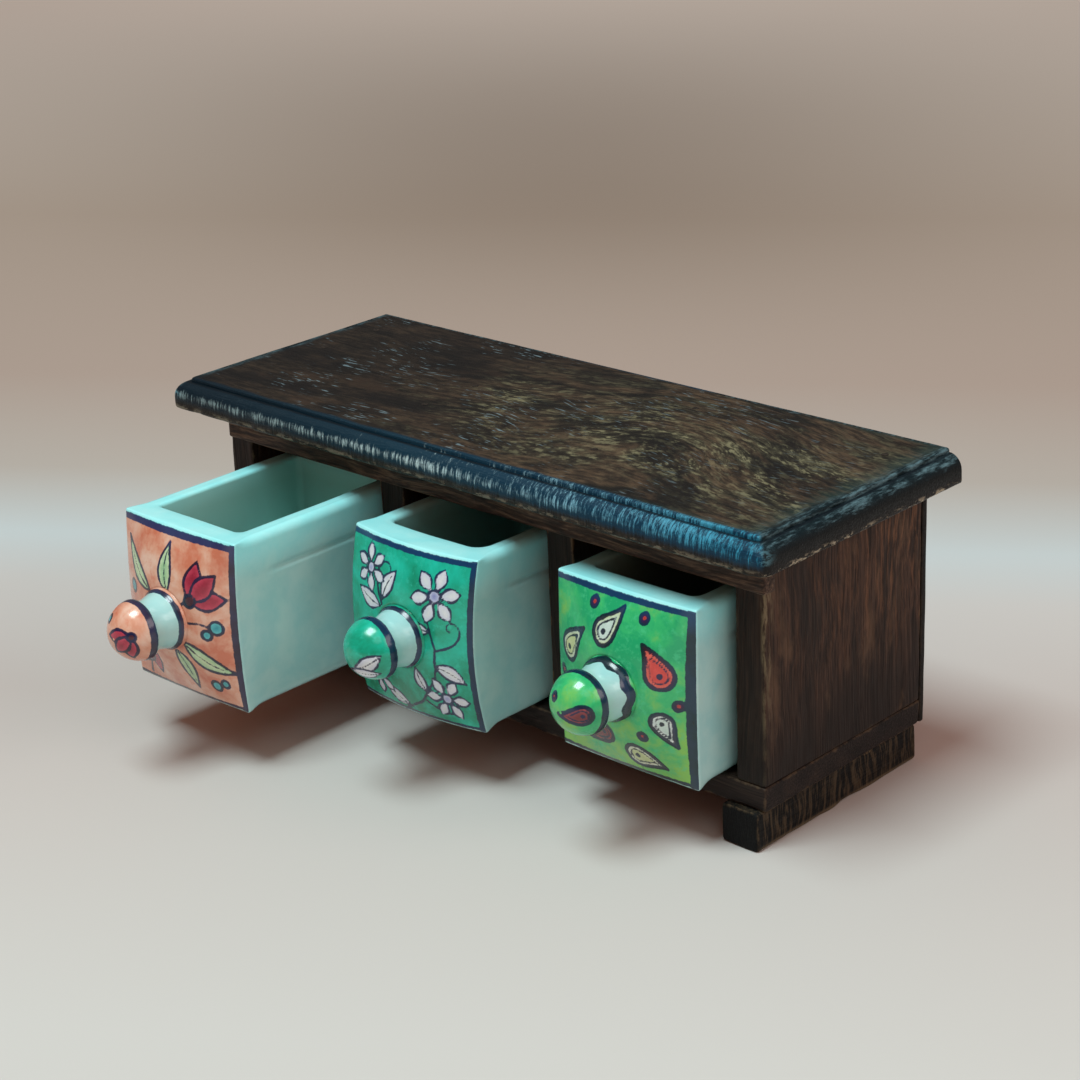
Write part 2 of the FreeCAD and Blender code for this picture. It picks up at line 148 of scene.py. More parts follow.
def inset(depth, radius):
    """How far a rounded edge stands back at this depth below the face it ends in."""
    left = np.clip(radius - depth, 0, None)
    return radius - np.sqrt(np.clip(radius * radius - left * left, 0, None))


def turn_corner(x, y, x_end, y_end, radius):
    """Moves border points into a rounded corner of the rectangle whose corner is (x_end, y_end)."""
    sx, sy = np.sign(x_end), np.sign(y_end)
    qx, qy = x_end - sx * radius, y_end - sy * radius
    dx, dy = x - qx, y - qy
    inside = (dx * sx > 0) & (dy * sy > 0)
    reach = np.where(inside, np.maximum(np.hypot(dx, dy), 1e-9), 1)
    x = np.where(inside, qx + dx / reach * radius, x)
    return x, np.where(inside, qy + dy / reach * radius, y)


def steps(length, cell):
    """Places along a board from -1 to 1, closer together near both ends."""
    near = [0.0, 0.25, 0.7, 1.4]
    count = max(2, round((length - 2 * near[-1]) / cell))
    middle = np.linspace(near[-1], length - near[-1], count + 1)
    whole = np.concatenate([near[:-1], middle, [length - n for n in near[-2::-1]]])
    return whole / length * 2 - 1


# Shader graphs

class Graph:
    """One material's nodes, with short calls for the few kinds that the finishes use."""

    def __init__(self, name):
        self.material = bpy.data.materials.new(name)
        self.material.use_nodes = True
        self.tree = self.material.node_tree
        self.shader = self.tree.nodes["Principled BSDF"]
        self.place = self.add("TexCoord").outputs["Object"]
        self.east, self.north, self.height = self.add("SeparateXYZ", {0: self.place}).outputs

    def put(self, socket, value):
        if isinstance(value, bpy.types.NodeSocket):
            self.tree.links.new(value, socket)
        else:
            socket.default_value = value

    def surface(self, name, value):
        self.put(self.shader.inputs[name], value)

    def add(self, kind, sockets=None, **settings):
        made = self.tree.nodes.new("ShaderNode" + kind)
        for key, value in settings.items():
            setattr(made, key, value)
        for key, value in (sockets or {}).items():
            self.put(made.inputs[key], value)
        return made

    def reckon(self, operation, *values):
        made = self.add("Math", operation=operation)
        for socket, value in zip(made.inputs, values):
            self.put(socket, value)
        return made.outputs[0]

    def times(self, first, *others):
        for other in others:
            first = self.reckon("MULTIPLY", first, other)
        return first

    def plus(self, first, *others):
        for other in others:
            first = self.reckon("ADD", first, other)
        return first

    def minus(self, first, second):
        return self.reckon("SUBTRACT", first, second)

    def swing(self, noise, amount):
        """A noise moved to both sides of nought, times the amount."""
        return self.times(self.minus(noise, 0.5), amount)

    def bent(self, size, amount, vector=None):
        """The vector, or else the place, moved about by soft random steps."""
        clouds = {"Vector": self.place, "Scale": 1 / size, "Detail": 2.0}
        field = self.add("TexNoise", clouds).outputs["Color"]
        about = self.add("VectorMath", {0: field, 1: (0.5, 0.5, 0.5)}, operation="SUBTRACT").outputs[0]
        moved = self.add("VectorMath", {0: about, "Scale": amount}, operation="SCALE").outputs[0]
        return self.add("VectorMath", {0: vector or self.place, 1: moved}, operation="ADD").outputs[0]

    def noise(self, scale, detail=4.0, rough=0.55, vector=None):
        """Random clouds; a scale of three numbers draws them out."""
        vector = vector or self.place
        if isinstance(scale, tuple):
            vector = self.add("Mapping", {"Vector": vector, "Scale": scale}).outputs[0]
            scale = 1.0
        sockets = {"Vector": vector, "Scale": scale, "Detail": detail, "Roughness": rough}
        return self.add("TexNoise", sockets).outputs[0]

    def step(self, value, low, high, start=0.0, end=1.0):
        """A soft step from start, at low, to end, at high."""
        sockets = {"Value": value, "From Min": low, "From Max": high, "To Min": start, "To Max": end}
        return self.add("MapRange", sockets, interpolation_type="SMOOTHSTEP").outputs[0]

    def mix(self, share, first, second, blend="MIX"):
        sockets = {"Factor": share, 6: first, 7: second}
        return self.add("Mix", data_type="RGBA", blend_type=blend, sockets=sockets).outputs[2]

    def ramp(self, value, stops):
        made = self.add("ValToRGB", {"Fac": value})
        bar = made.color_ramp.elements
        while len(bar) < len(stops):
            bar.new(0.5)
        for element, (spot, colour) in zip(bar, stops):
            element.position = spot
            element.color = colour
        return made.outputs[0]

    def field(self, name, part="Fac"):
        return self.add("Attribute", attribute_name=name).outputs[part]

    def lay(self, share, colour):
        """Lays a share of this colour over the colour so far."""
        self.colour = self.mix(share, self.colour, colour)

    def done(self):
        self.surface("Base Color", self.colour)
        return self.material

    def bump(self, height, strength, distance):
        made = self.add("Bump", {"Height": height, "Strength": strength, "Distance": distance})
        self.surface("Normal", made.outputs[0])


# Wood finishes, whose sizes and places are in metres

GRAIN = {"X": (7, 130, 130), "Y": (130, 7, 130), "Z": (130, 130, 7)}
PORES = {"X": (30, 1400, 1400), "Y": (1400, 30, 1400), "Z": (1400, 1400, 30)}
KNOT_EAST, KNOT_NORTH, KNOT_WIDTH, KNOT_DEPTH = 0.050, 0.062, 0.060, 0.050


def wood(name, grain, tones, spread, shine):
    """Stained wood with long soft grain, fine dark pores and bare worn edges."""
    dark, middle, light, worn = tones
    g = Graph(name)
    g.flow = g.bent(0.09, 0.012)
    broad = g.noise(GRAIN[grain], 5.0, 0.6, g.flow)
    g.fine = g.noise(PORES[grain], 3.0, vector=g.flow)
    cloud = g.noise(22.0, 3.0)
    tone = g.plus(g.times(broad, 0.7), g.times(cloud, 0.3))
    g.colour = g.ramp(tone, [(spread[0], dark), (sum(spread) / 2, middle), (spread[1], light)])
    g.lay(g.step(g.fine, 0.50, 0.33, 0.0, 0.75), dark)
    g.lay(g.step(g.fine, 0.56, 0.74, 0.0, 0.45), light)
    speckle = g.noise(260.0, 5.0, 0.7)
    rubbed = g.plus(g.field("worn"), g.swing(speckle, 1.5))
    g.lay(g.step(rubbed, 0.62, 0.95, 0.0, 0.85), worn)
    g.surface("Roughness", g.step(g.fine, 0.3, 0.7, shine + 0.14, shine - 0.04))
    g.surface("Specular IOR Level", 0.22)
    g.bump(g.plus(g.times(broad, 0.5), g.fine), 0.35, 0.0006)
    return g


def lay_plate(g, swirl, brush):
    """Colours the flat of the top: olive flecks and umber patches, dark smudges and a few pale scratches."""
    flow = g.noise((20, 90, 16), 6.0, 0.65, swirl)
    short = g.noise((250, 660, 170), 4.0, 0.62, g.bent(0.008, 0.0015, swirl))
    long = g.noise((85, 300, 90), 5.0, 0.7, g.bent(0.02, 0.005, swirl))
    fleck = g.plus(g.times(short, 0.5), g.times(long, 0.5))
    cloud = g.noise(17.0, 4.0)
    where = g.plus(g.step(g.east, -0.11, 0.08, 0.0, 0.66), g.times(cloud, 0.70))
    lie = g.plus(g.reckon("ABSOLUTE", g.minus(g.north, 0.042)), g.times(flow, 0.06))
    belt = g.step(lie, 0.078, 0.042)
    g.lay(g.step(brush, 0.40, 0.68, 0.0, 0.7), rgb(46, 40, 33))
    zone = g.step(where, 0.50, 0.96)
    veil = g.times(g.step(flow, 0.40, 0.66, 0.15, 1.0), zone, g.plus(0.55, g.times(belt, 0.45)))
    olive = g.mix(g.step(brush, 0.36, 0.66), rgb(42, 39, 31), rgb(92, 90, 70))
    g.lay(veil, olive)
    lit = g.step(g.plus(where, g.times(flow, 0.9)), 0.88, 1.34)
    bright = g.times(g.step(fleck, 0.50, 0.60), lit)
    g.lay(g.times(bright, g.plus(0.16, g.times(belt, 0.62))), rgb(138, 136, 106))
    g.lay(g.step(fleck, 0.48, 0.40, 0.0, 0.7), rgb(20, 17, 15))
    ember = g.step(g.noise((30, 60, 30), 5.0, vector=swirl), 0.52, 0.64)
    g.lay(g.times(ember, g.step(g.east, 0.05, -0.03, 0.0, 0.45)), rgb(66, 50, 39))
    smudge = g.noise((18, 42, 14), 6.0, 0.62, swirl)
    g.lay(g.step(smudge, 0.46, 0.58, 0.0, 0.80), rgb(17, 16, 16))
    umber = g.mix(g.step(brush, 0.38, 0.66), rgb(46, 36, 29), rgb(98, 79, 61))
    stain = g.step(g.noise((24, 74, 20), 6.0, 0.6, swirl), 0.44, 0.58)
    g.lay(g.times(stain, g.step(g.east, -0.10, 0.04, 0.15, 0.66)), umber)
    scratch = g.noise((150, 1000, 300), 2.0, vector=g.bent(0.09, 0.03))
    patches = g.step(g.noise(30.0, 3.0), 0.48, 0.58)
    scuff = g.times(g.step(scratch, 0.60, 0.70), patches)
    g.lay(g.times(scuff, g.step(g.east, 0.12, 0.0, 0.25, 0.65)), rgb(120, 146, 156))


def moulding_colour(g, rise, streak, patch):
    """The moulding: brushed teal in front that brightens towards the right end, partly its paint and partly
    a painted reflection, near black at the ends with a painted sheen along the bead, bare wood below, and a
    painted shadow line in the quirk above.
    rise is the way up over its skin in millimetres; the field lead is 1 in front and 0 at the ends."""
    lead = g.field("lead")
    # Painted light: the teal and its pale streaks brighten towards the right end, partly the paint itself
    # and partly a painted reflection.
    paint_and_light_rightward = g.step(g.east, -0.15, 0.14, 0.05, 1.0)
    teal = g.ramp(paint_and_light_rightward, [(0.0, rgb(5, 22, 32)), (0.45, rgb(5, 45, 62)), (1.0, rgb(3, 50, 74))])
    pale = g.ramp(paint_and_light_rightward, [(0.0, rgb(128, 150, 154)), (0.5, rgb(184, 212, 216)), (1.0, rgb(54, 150, 182))])
    crown = g.step(rise, 3.4, 6.6, -0.16, 0.0)
    high = g.times(g.step(rise, 7.0, 10.0), g.step(g.east, 0.10, -0.06, 0.0, 0.20))
    brushed = g.plus(g.times(streak, 0.80), g.times(patch, 0.30), g.minus(crown, high))
    front = g.mix(g.step(brushed, 0.49, 0.67), teal, pale)
    # Painted highlight: a pale sheen along the upper bead of the dark ends.
    sheen = g.noise((700, 130, 700), 5.0, 0.75)
    shine = g.plus(sheen, g.swing(patch, 0.4), g.step(rise, 6.0, 10.5, -0.26, 0.0))
    dark_end = g.mix(g.step(rise, 6.0, 11.0), rgb(4, 8, 9), rgb(5, 26, 32))
    end = g.mix(g.step(shine, 0.42, 0.70, 0.0, 0.8), dark_end, rgb(98, 132, 142))
    moulded = g.mix(lead, end, front)
    low = g.plus(rise, g.swing(streak, 5.0))
    bare = g.mix(lead, rgb(24, 20, 18), rgb(56, 44, 34))
    skirt = g.mix(g.step(streak, 0.35, 0.7), rgb(12, 10, 9), bare)
    moulded = g.mix(g.step(low, 2.6, 5.2), skirt, moulded)
    # Painted shadow: a dark line in the quirk, the small groove at the top of the moulding.
    quirk_shadow = g.times(g.step(rise, 12.0, 12.9), g.step(rise, 14.6, 13.7))
    return g.mix(g.times(quirk_shadow, 0.9), moulded, rgb(5, 16, 24))


def top_finish():
    """The waxed top: grain that swings round a knot, and a painted moulding with rubbed corners."""
    tones = rgb(12, 11, 10), rgb(27, 23, 20), rgb(48, 40, 33), rgb(92, 80, 64)
    g = wood("waxed_top", "X", tones, (0.3, 0.75), 0.42)
    aside = g.reckon("DIVIDE", g.minus(g.east, KNOT_EAST), KNOT_WIDTH)
    behind = g.reckon("DIVIDE", g.minus(g.north, KNOT_NORTH), KNOT_DEPTH)
    apart = g.plus(g.times(aside, aside), g.times(behind, behind))
    knot = g.reckon("EXPONENT", g.times(apart, -1.0))
    bowed = g.add("CombineXYZ", {0: g.east, 1: g.minus(g.north, g.times(knot, 0.030))}).outputs[0]
    swirl = g.bent(0.014, 0.0022, g.bent(0.10, 0.020, bowed))
    brush = g.noise((110, 520, 90), 5.0, 0.7, swirl)
    rise = g.field("rise")
    streak = g.noise((1150, 380, 150), 5.0, 0.75)
    patch = g.noise((46, 40, 40))
    tint = g.times(g.step(rise, 21.5, 17.5), g.step(g.east, 0.05, 0.14, 0.0, 0.35))
    lay_plate(g, swirl, brush)
    g.lay(tint, rgb(30, 70, 68))
    edge = g.step(g.plus(rise, g.swing(patch, 4.0)), 18.6, 16.6)
    g.lay(edge, moulding_colour(g, rise, streak, patch))
    nick = g.noise((190, 190, 520), 5.0, 0.75)
    g.lay(g.times(g.field("chip"), g.step(nick, 0.50, 0.58)), rgb(166, 158, 136))
    g.lay(g.times(g.field("corner"), g.step(nick, 0.48, 0.60, 0.0, 0.7)), rgb(104, 160, 176))
    g.bump(g.plus(g.fine, g.times(brush, 0.8), g.times(streak, g.times(edge, 0.8))), 0.4, 0.0007)
    return g.done()


def panel_finish():
    """The side panels: upright grain, orange streaks high up, dark patches, a rubbed front corner, painted
    shade towards the bottom and a painted shadow under the top.
    """
    tones = rgb(26, 17, 13), rgb(56, 38, 29), rgb(92, 62, 44), rgb(108, 94, 72)
    g = wood("brown_wood", "Z", tones, (0.3, 0.76), 0.55)
    warm = g.times(g.step(g.height, 0.03, 0.09), g.step(g.north, 0.0, 0.09, 0.25, 1.0))
    strand = g.noise((620, 500, 44), 7.0, 0.72, g.bent(0.03, 0.008))
    g.lay(g.times(warm, g.step(strand, 0.46, 0.66, 0.0, 0.8)), rgb(120, 84, 60))
    g.lay(g.step(strand, 0.46, 0.34, 0.0, 0.6), rgb(22, 16, 13))
    # Painted shade: the panel darkens towards the bottom.
    shade = g.plus(g.height, g.times(g.noise(30.0, 3.0), 0.05))
    g.lay(g.step(shade, 0.088, 0.050, 0.0, 0.7), rgb(24, 18, 16))
    blotch = g.noise((34, 60, 24), 5.0, 0.6, g.bent(0.05, 0.02))
    g.lay(g.step(blotch, 0.47, 0.36, 0.0, 0.6), rgb(34, 26, 23))
    g.lay(g.step(blotch, 0.54, 0.68, 0.0, 0.35), rgb(116, 90, 68))
    # Painted shadow: a dark band just under the top's overhang.
    shadow_under_top = g.step(g.height, 0.098, 0.1065, 0.0, 0.6)
    g.lay(shadow_under_top, rgb(22, 17, 15))
    front_edge = g.step(g.north, 0.0056, 0.0048, 0.0, 0.5)
    g.lay(front_edge, rgb(18, 14, 12))
    outside = g.step(g.reckon("ABSOLUTE", g.east), 0.1300, 0.1314)
    fray = g.noise((500, 500, 70), 6.0, 0.7, g.bent(0.01, 0.003))
    rub = g.times(g.step(g.north, 0.0105, 0.0060), g.step(fray, 0.46, 0.60), outside)
    g.lay(g.times(rub, g.step(shade, 0.060, 0.110, 0.15, 1.0), 0.7), rgb(128, 118, 92))
    return g.done()


def dark_finish():
    """Rail, base and back: smooth dark wood, a scraped front on the rail, nearly black on the back board."""
    tones = rgb(18, 13, 12), rgb(36, 27, 24), rgb(60, 46, 36), rgb(82, 67, 51)
    g = wood("dark_wood", "X", tones, (0.3, 0.76), 0.55)
    g.lay(g.step(g.north, 0.0936, 0.0942, 0.0, 0.72), rgb(14, 12, 11))
    rail = g.times(g.step(g.height, 0.093, 0.094), g.step(g.north, 0.012, 0.011))
    scrape = g.noise((60, 900, 760), 5.0, 0.7, g.flow)
    tone = g.ramp(scrape, [(0.34, rgb(26, 19, 16)), (0.50, rgb(72, 54, 44)), (0.68, rgb(128, 104, 84))])
    g.lay(g.times(rail, 0.85), tone)
    return g.done()


def foot_finish():
    """The rough sawn feet: near black with upright scratches and a pale lower edge."""
    tones = rgb(8, 7, 6), rgb(18, 15, 13), rgb(34, 28, 22), rgb(100, 84, 62)
    g = wood("foot_wood", "Y", tones, (0.3, 0.74), 0.65)
    cut = g.noise((420, 620, 70), 4.0, 0.72, g.bent(0.02, 0.006))
    flank = g.step(g.north, 0.0022, 0.0050)
    g.lay(g.times(g.step(cut, 0.46, 0.60, 0.0, 0.72), flank), rgb(82, 69, 52))
    g.lay(g.step(cut, 0.50, 0.40, 0.0, 0.85), rgb(9, 8, 8))
    g.lay(g.step(g.north, 0.0028, 0.0020, 0.0, 0.85), rgb(3, 3, 4))
    g.lay(g.times(g.step(g.height, 0.0022, 0.0008), flank, 0.6), rgb(120, 108, 86))
    g.bump(cut, 0.8, 0.0012)
    return g.done()


# Ceramic finish: wash, filled motifs and outlines under one clear glaze

def glaze(side, look):
    """Painted and clear glazed clay, bare underneath."""
    g = Graph("glaze_" + side)

    def inside(name, soft, strength=1.0):
        """How much of a place lies inside the shapes whose signed distance this field holds."""
        return g.step(g.plus(g.field(name), drift), soft, -soft, 0.0, strength)

    shake, tremble = g.noise(420.0, 3.0), g.noise(1500.0, 2.0)
    drift = g.plus(g.swing(shake, 0.8), g.swing(tremble, 0.3))
    pool = g.noise(75.0, 4.0, 0.6, g.bent(0.03, 0.015))
    mottle = g.noise(330.0, 4.0, 0.65)
    thin, middle, thick, speckle = look["washes"]
    stain = g.plus(pool, g.step(g.height, 0.022, 0.066, *look["shift"]))
    wash = g.ramp(stain, [(0.36, thin), (0.50, middle), (0.70, thick)])
    wash = g.mix(g.step(mottle, 0.52, 0.70, 0.0, 0.5), wash, speckle)
    fill = g.field("fill", "Color")
    lit_fill = g.mix(0.5, fill, rgb(255, 255, 255), "SOFT_LIGHT")
    shade = g.mix(g.step(mottle, 0.35, 0.7), fill, lit_fill)
    painted = g.mix(inside("fill_edge", 0.12), wash, shade)
    # Painted light: the rim, which faces up, is painted a brighter, stronger cyan than the greyer walls
    # below it, as if lit from above.
    rim = g.mix(g.step(pool, 0.3, 0.7), rgb(160, 248, 253), rgb(178, 252, 255))
    flank = g.mix(g.step(pool, 0.3, 0.7), rgb(163, 220, 222), rgb(183, 228, 227))
    g.colour = g.mix(g.step(g.height, 0.074, 0.087), flank, rim)
    # Painted shade: the inside of the drawer darkens towards the back.
    hollow_shade = g.mix(g.step(g.north, -0.005, 0.045, 0.0, 0.6), rgb(154, 212, 206), rgb(62, 84, 82))
    g.lay(g.field("within"), hollow_shade)
    g.lay(inside("wash", 0.12), painted)
    pen = g.mix(g.step(pool, 0.35, 0.65), look["ink"], g.mix(0.5, look["ink"], rgb(10, 40, 96)))
    pen = g.mix(g.step(g.height, 0.080, 0.087, 0.0, 0.7), pen, rgb(4, 52, 110))
    g.lay(inside("ink", 0.16, 0.96), pen)
    bare = g.field("bare")
    clay = g.mix(g.step(mottle, 0.3, 0.7), rgb(150, 84, 58), rgb(176, 108, 78))
    g.lay(bare, clay)
    g.surface("Roughness", g.reckon("MAXIMUM", g.step(mottle, 0.3, 0.7, 0.17, 0.25), g.times(bare, 0.8)))
    g.surface("Coat Weight", g.times(g.minus(1.0, bare), 0.35))
    g.surface("Coat Roughness", 0.13)
    g.bump(g.plus(g.noise(60.0, 2.0), g.times(mottle, 0.12)), 0.12, 0.002)
    return g.done()


def metal_finish():
    g = Graph("brad_steel")
    rust = g.noise(900.0, 4.0, 0.7)
    g.colour = g.ramp(rust, [(0.35, rgb(38, 32, 30)), (0.6, rgb(84, 74, 66)), (0.75, rgb(96, 58, 38))])
    g.surface("Metallic", 0.8)
    g.surface("Roughness", g.step(rust, 0.3, 0.7, 0.35, 0.7))
    g.bump(rust, 0.3, 0.0003)
    return g.done()


# Painted motifs, as signed distances in millimetres on a face

FAR_OFF = 9.0
GREY = rgb(128, 128, 128)


class Painting:
    """Outlines, fills and colours gathered motif by motif over a set of points."""

    def __init__(self, x, z, pen):
        self.x, self.z, self.pen = x, z, pen
        self.ink = np.full(len(x), FAR_OFF)
        self.edge = np.full(len(x), FAR_OFF)
        self.fill = np.tile(np.array(GREY), (len(x), 1))

    def lay(self, distance, colour, second=None):
        """A later motif covers what it lies on; second is its colour along the rim."""
        colour, second = np.array(colour), np.array(second or colour)
        depth = np.clip(-distance / 2.4, 0, 1)[:, None]
        own = (distance < np.minimum(self.edge, 0.4)) | (distance < 0.2)
        self.fill = np.where(own[:, None], second * (1 - depth) + colour * depth, self.fill)
        self.ink = np.where(distance < 0, FAR_OFF, self.ink)
        self.edge = np.minimum(self.edge, distance)
        self.ink = np.minimum(self.ink, np.abs(distance) - self.pen / 2)

    def local(self, at, angle):
        turn = radians(angle)
        dx, dz = self.x - at[0], self.z - at[1]
        return dx * cos(turn) + dz * sin(turn), dz * cos(turn) - dx * sin(turn)

    def blade(self, at, angle, length, width, bend, colour, second, fullness=0.8):
        """A petal or leaf that points to both ends and bends to one side."""
        s, t = self.local(at, angle)
        share = np.clip(s / length, 0, 1)
        t = t - bend * 4 * share * (1 - share)
        half = width / 2 * np.sin(pi * share ** fullness)
        over = np.maximum(np.maximum(-s, s - length), 0)
        distance = np.where(over > 0, np.hypot(over, np.abs(t)), (np.abs(t) - half) * 0.92)
        self.lay(distance, colour, second)

    def leaf(self, at, angle, length, width, bend, colour, second, fullness=0.8, vein=0.8):
        """A blade with a line along its middle."""
        self.blade(at, angle, length, width, bend, colour, second, fullness)
        cosine, sine = cos(radians(angle)), sin(radians(angle))
        spots = []
        for share in (0.08, 0.3, 0.55, 0.8):
            s, t = length * share, bend * 4 * share * (1 - share)
            spots.append((at[0] + s * cosine - t * sine, at[1] + s * sine + t * cosine))
        self.stroke(spots, vein, 0.4)

    def stroke(self, spots, width, taper=0.0):
        """A brush line through the spots."""
        nearest = np.full(len(self.x), 99.0)
        for number, (a, b) in enumerate(zip(spots, spots[1:])):
            ax, az = a
            bx, bz = b[0] - ax, b[1] - az
            along = ((self.x - ax) * bx + (self.z - az) * bz) / max(bx * bx + bz * bz, 1e-9)
            along = np.clip(along, 0, 1)
            thin = width / 2 * (1 - taper * (number + along) / (len(spots) - 1))
            gap = np.hypot(self.x - ax - bx * along, self.z - az - bz * along)
            nearest = np.minimum(nearest, gap - thin)
        self.ink = np.minimum(self.ink, nearest)

    def disc(self, x, z, radius, colour, second=None):
        self.lay(np.hypot(self.x - x, self.z - z) - radius, colour, second)


CRIMSON, ROSE, PLUM = rgb(150, 34, 58), rgb(188, 62, 84), rgb(60, 20, 34)
SAGE, CELADON = rgb(150, 196, 150), rgb(196, 222, 176)
BERRY, BERRY_LIGHT = rgb(26, 132, 150), rgb(90, 186, 190)
LILAC, SNOW, VIOLET = rgb(196, 206, 232), rgb(226, 236, 238), rgb(120, 128, 196)
CREAM, MIST = rgb(196, 214, 156), rgb(196, 222, 214)
SCARLET, CORAL, MAROON = rgb(206, 66, 60), rgb(224, 110, 92), rgb(112, 42, 46)


def tulip(p, at, angle, size):
    """Three petals from one cup."""
    for turn in (38, -38, 0):
        p.blade(at, angle + turn, size, size * 0.52, 0, CRIMSON, ROSE, 0.95)
    p.disc(*at, size * 0.16, PLUM)


def paint_left(p):
    p.stroke([(-22, -30), (-17, -20), (-10, -8), (0, 0), (11, 9), (18, 17)], 1.2)
    p.leaf((9, -7), -28, 22, 6.4, -2.2, CELADON, SAGE)
    p.leaf((-8, 9), 140, 24, 6.0, 2.6, CELADON, SAGE)
    p.leaf((2, 11), 100, 17, 6.6, 1.6, SAGE, CELADON)
    p.leaf((4, -11), -76, 17, 6.2, 1.6, SAGE, CELADON)
    p.blade((-11, -3), 196, 16, 5.4, -1.4, CELADON, SAGE)
    tulip(p, (13, 9.5), 47, 14.5)
    tulip(p, (-13.5, -14), 232, 13.5)
    p.stroke([(11, 1), (17, 1.5), (21, 0.5)], 0.9)
    berries = [(23.2, 0.6, 2.5), (19.4, -2.6, 1.9), (-21.5, 6.5, 2.3)]
    berries += [(18.5, -24.0, 2.1), (22.8, -22.4, 1.6)]
    for x, z, radius in berries:
        p.disc(x, z, radius, BERRY, BERRY_LIGHT)


def daisy(p, at, size, turn):
    """Six round petals round a violet heart."""
    for number in range(6):
        angle = turn + 60 * number
        way = radians(angle)
        foot = (at[0] + 0.2 * size * cos(way), at[1] + 0.2 * size * sin(way))
        p.blade(foot, angle, size, size * 0.56, 0, SNOW, LILAC, 1.25)
    p.disc(*at, size * 0.27, VIOLET, LILAC)


def curl(p, at, angle, size, hand):
    """A tendril that winds up at its end."""
    spots = [at]
    for number in range(16):
        share = number / 15
        way = radians(angle + hand * 330 * share * share)
        step = size * 0.16 * (1 - 0.55 * share)
        last = spots[-1]
        spots.append((last[0] + step * cos(way), last[1] + step * sin(way)))
    p.stroke(spots, 1.1, 0.5)


def paint_middle(p):
    p.stroke([(-6, -32), (6, -25), (15, -13), (16, -1), (13, 9), (17, 20)], 1.0)
    curl(p, (16, -2), 20, 13, 1)
    curl(p, (8, -24), -30, 13, 1)
    curl(p, (-9, 10), 120, 14, -1)
    curl(p, (-12, -9), 200, 12, 1)
    leaves = [(15.5, -8, -25, 11), (14, 5, 165, 8), (10, -20, 110, 9)]
    leaves += [(-10, 9, 165, 12), (-9, 12, 62, 11), (-2, -29, 150, 11)]
    for x, z, angle, size in leaves:
        p.leaf((x, z), angle, size * 1.15, size * 0.52, 0.8, SNOW, LILAC, 0.9, 0.6)
    daisy(p, (15.5, 18.0), 8.6, 12)
    daisy(p, (-17.0, 21.0), 7.2, 40)
    daisy(p, (18.0, -21), 7.4, 0)
    daisy(p, (-16, -20), 7.2, 25)


def boteh(p, at, angle, size, hand, colour, second):
    """A bent teardrop with an inner line and a dot, an old textile ornament."""
    s, t = p.local(at, angle)
    outline = []
    for turn in np.linspace(0, 2 * pi, 56, endpoint=False):
        along = 0.14 - 0.5 * cos(turn)
        half = 0.42 * sin(turn) * abs(cos(turn / 2)) ** 1.2
        outline.append((size * along, size * (half + hand * 0.62 * max(along + 0.1, 0) ** 2)))
    distance, inside = np.full(len(s), 99.0), np.zeros(len(s), bool)
    for (ax, ay), (bx, by) in zip(outline, outline[1:] + outline[:1]):
        ex, ey = bx - ax, by - ay
        along = np.clip(((s - ax) * ex + (t - ay) * ey) / (ex * ex + ey * ey), 0, 1)
        distance = np.minimum(distance, np.hypot(s - ax - ex * along, t - ay - ey * along))
        if ey:
            inside ^= ((ay > t) != (by > t)) & (s < ax + ex * (t - ay) / ey)
    distance = np.where(inside, -distance, distance)
    p.lay(distance, colour, second)
    p.ink = np.minimum(p.ink, np.abs(distance + size * 0.13) - 0.32)
    p.ink = np.minimum(p.ink, np.hypot(s + size * 0.06, t) - size * 0.07)


def paint_right(p):
    boteh(p, (-3, 19.5), 30, 14.5, 1, MIST, CREAM)
    boteh(p, (19.5, 9.5), 100, 15.5, 1, SCARLET, CORAL)
    boteh(p, (-20.5, 9.5), 75, 15, -1, CREAM, MIST)
    boteh(p, (20, -9.5), 272, 12.5, 1, MIST, SNOW)
    boteh(p, (9, -24), 10, 14.5, -1, CREAM, SNOW)
    boteh(p, (-5, -18.5), 235, 13.5, -1, MAROON, rgb(150, 66, 62))
    boteh(p, (-21, -12), 265, 14, 1, SCARLET, MAROON)
    for x, z in ((11.5, 26.5), (-10.5, 27), (12.5, -15.0), (25.5, -1.5), (-25.5, -2)):
        p.disc(x, z, 1.5, MAROON, SCARLET)


def dome_left(p):
    tulip(p, (7.6, 1.8), 222, 10.4)
    p.disc(-5.5, 6.5, 1.6, BERRY, BERRY_LIGHT)


def dome_middle(p):
    p.leaf((11.0, 1.6), 210, 13.0, 5.8, 0.8, SNOW, LILAC, 0.9, 0.7)
    p.leaf((9.6, -7.2), 172, 12.5, 5.4, 0.5, SNOW, LILAC, 0.9, 0.7)


def dome_right(p):
    boteh(p, (7.4, -0.6), 208, 11.5, -1, MAROON, rgb(150, 66, 70))
    p.disc(-4.5, 4.5, 1.3, MAROON, SCARLET)


# Drawers, in millimetres from the middle of the front's lower edge. The knob grows from a square HOLE in
# the face; NECK and BALL are its radii, and where they start is measured out from the front.

HALF, DEEP, TALL = 30.5, 86.0, 66.0
SIDE_WALL, FRONT_WALL, REAR_WALL, FLOOR, FLOOR_ROUND = 7.8, 9.8, 7.5, 5.5, 5.0
SHARP, FOOT_ROUND, HEAD_ROUND, REAR_TURN = 0.8, 4.8, 3.2, 6.0
CLEAR_OF_ROUNDS = 9.0
CROWN = 11.0
GROOVE_DROP, GROOVE_HALF, GROOVE_DEEP, GROOVE_START = 14.6, 1.79, 0.8, 15.5
HOLE, NECK, BALL = 12.0, 10.4, 11.6
NECK_START, BALL_START, BALL_LONG = 13.4, 21.8, 11.8
COLLAR_AT, PAINT_HEAD, PAINT_FOOT = 3.4, 31.7, 32.2
CAST_WAVE, MOUTH_WAVE, CELL = 38, 30, 0.6
CLOSE = 1e-9

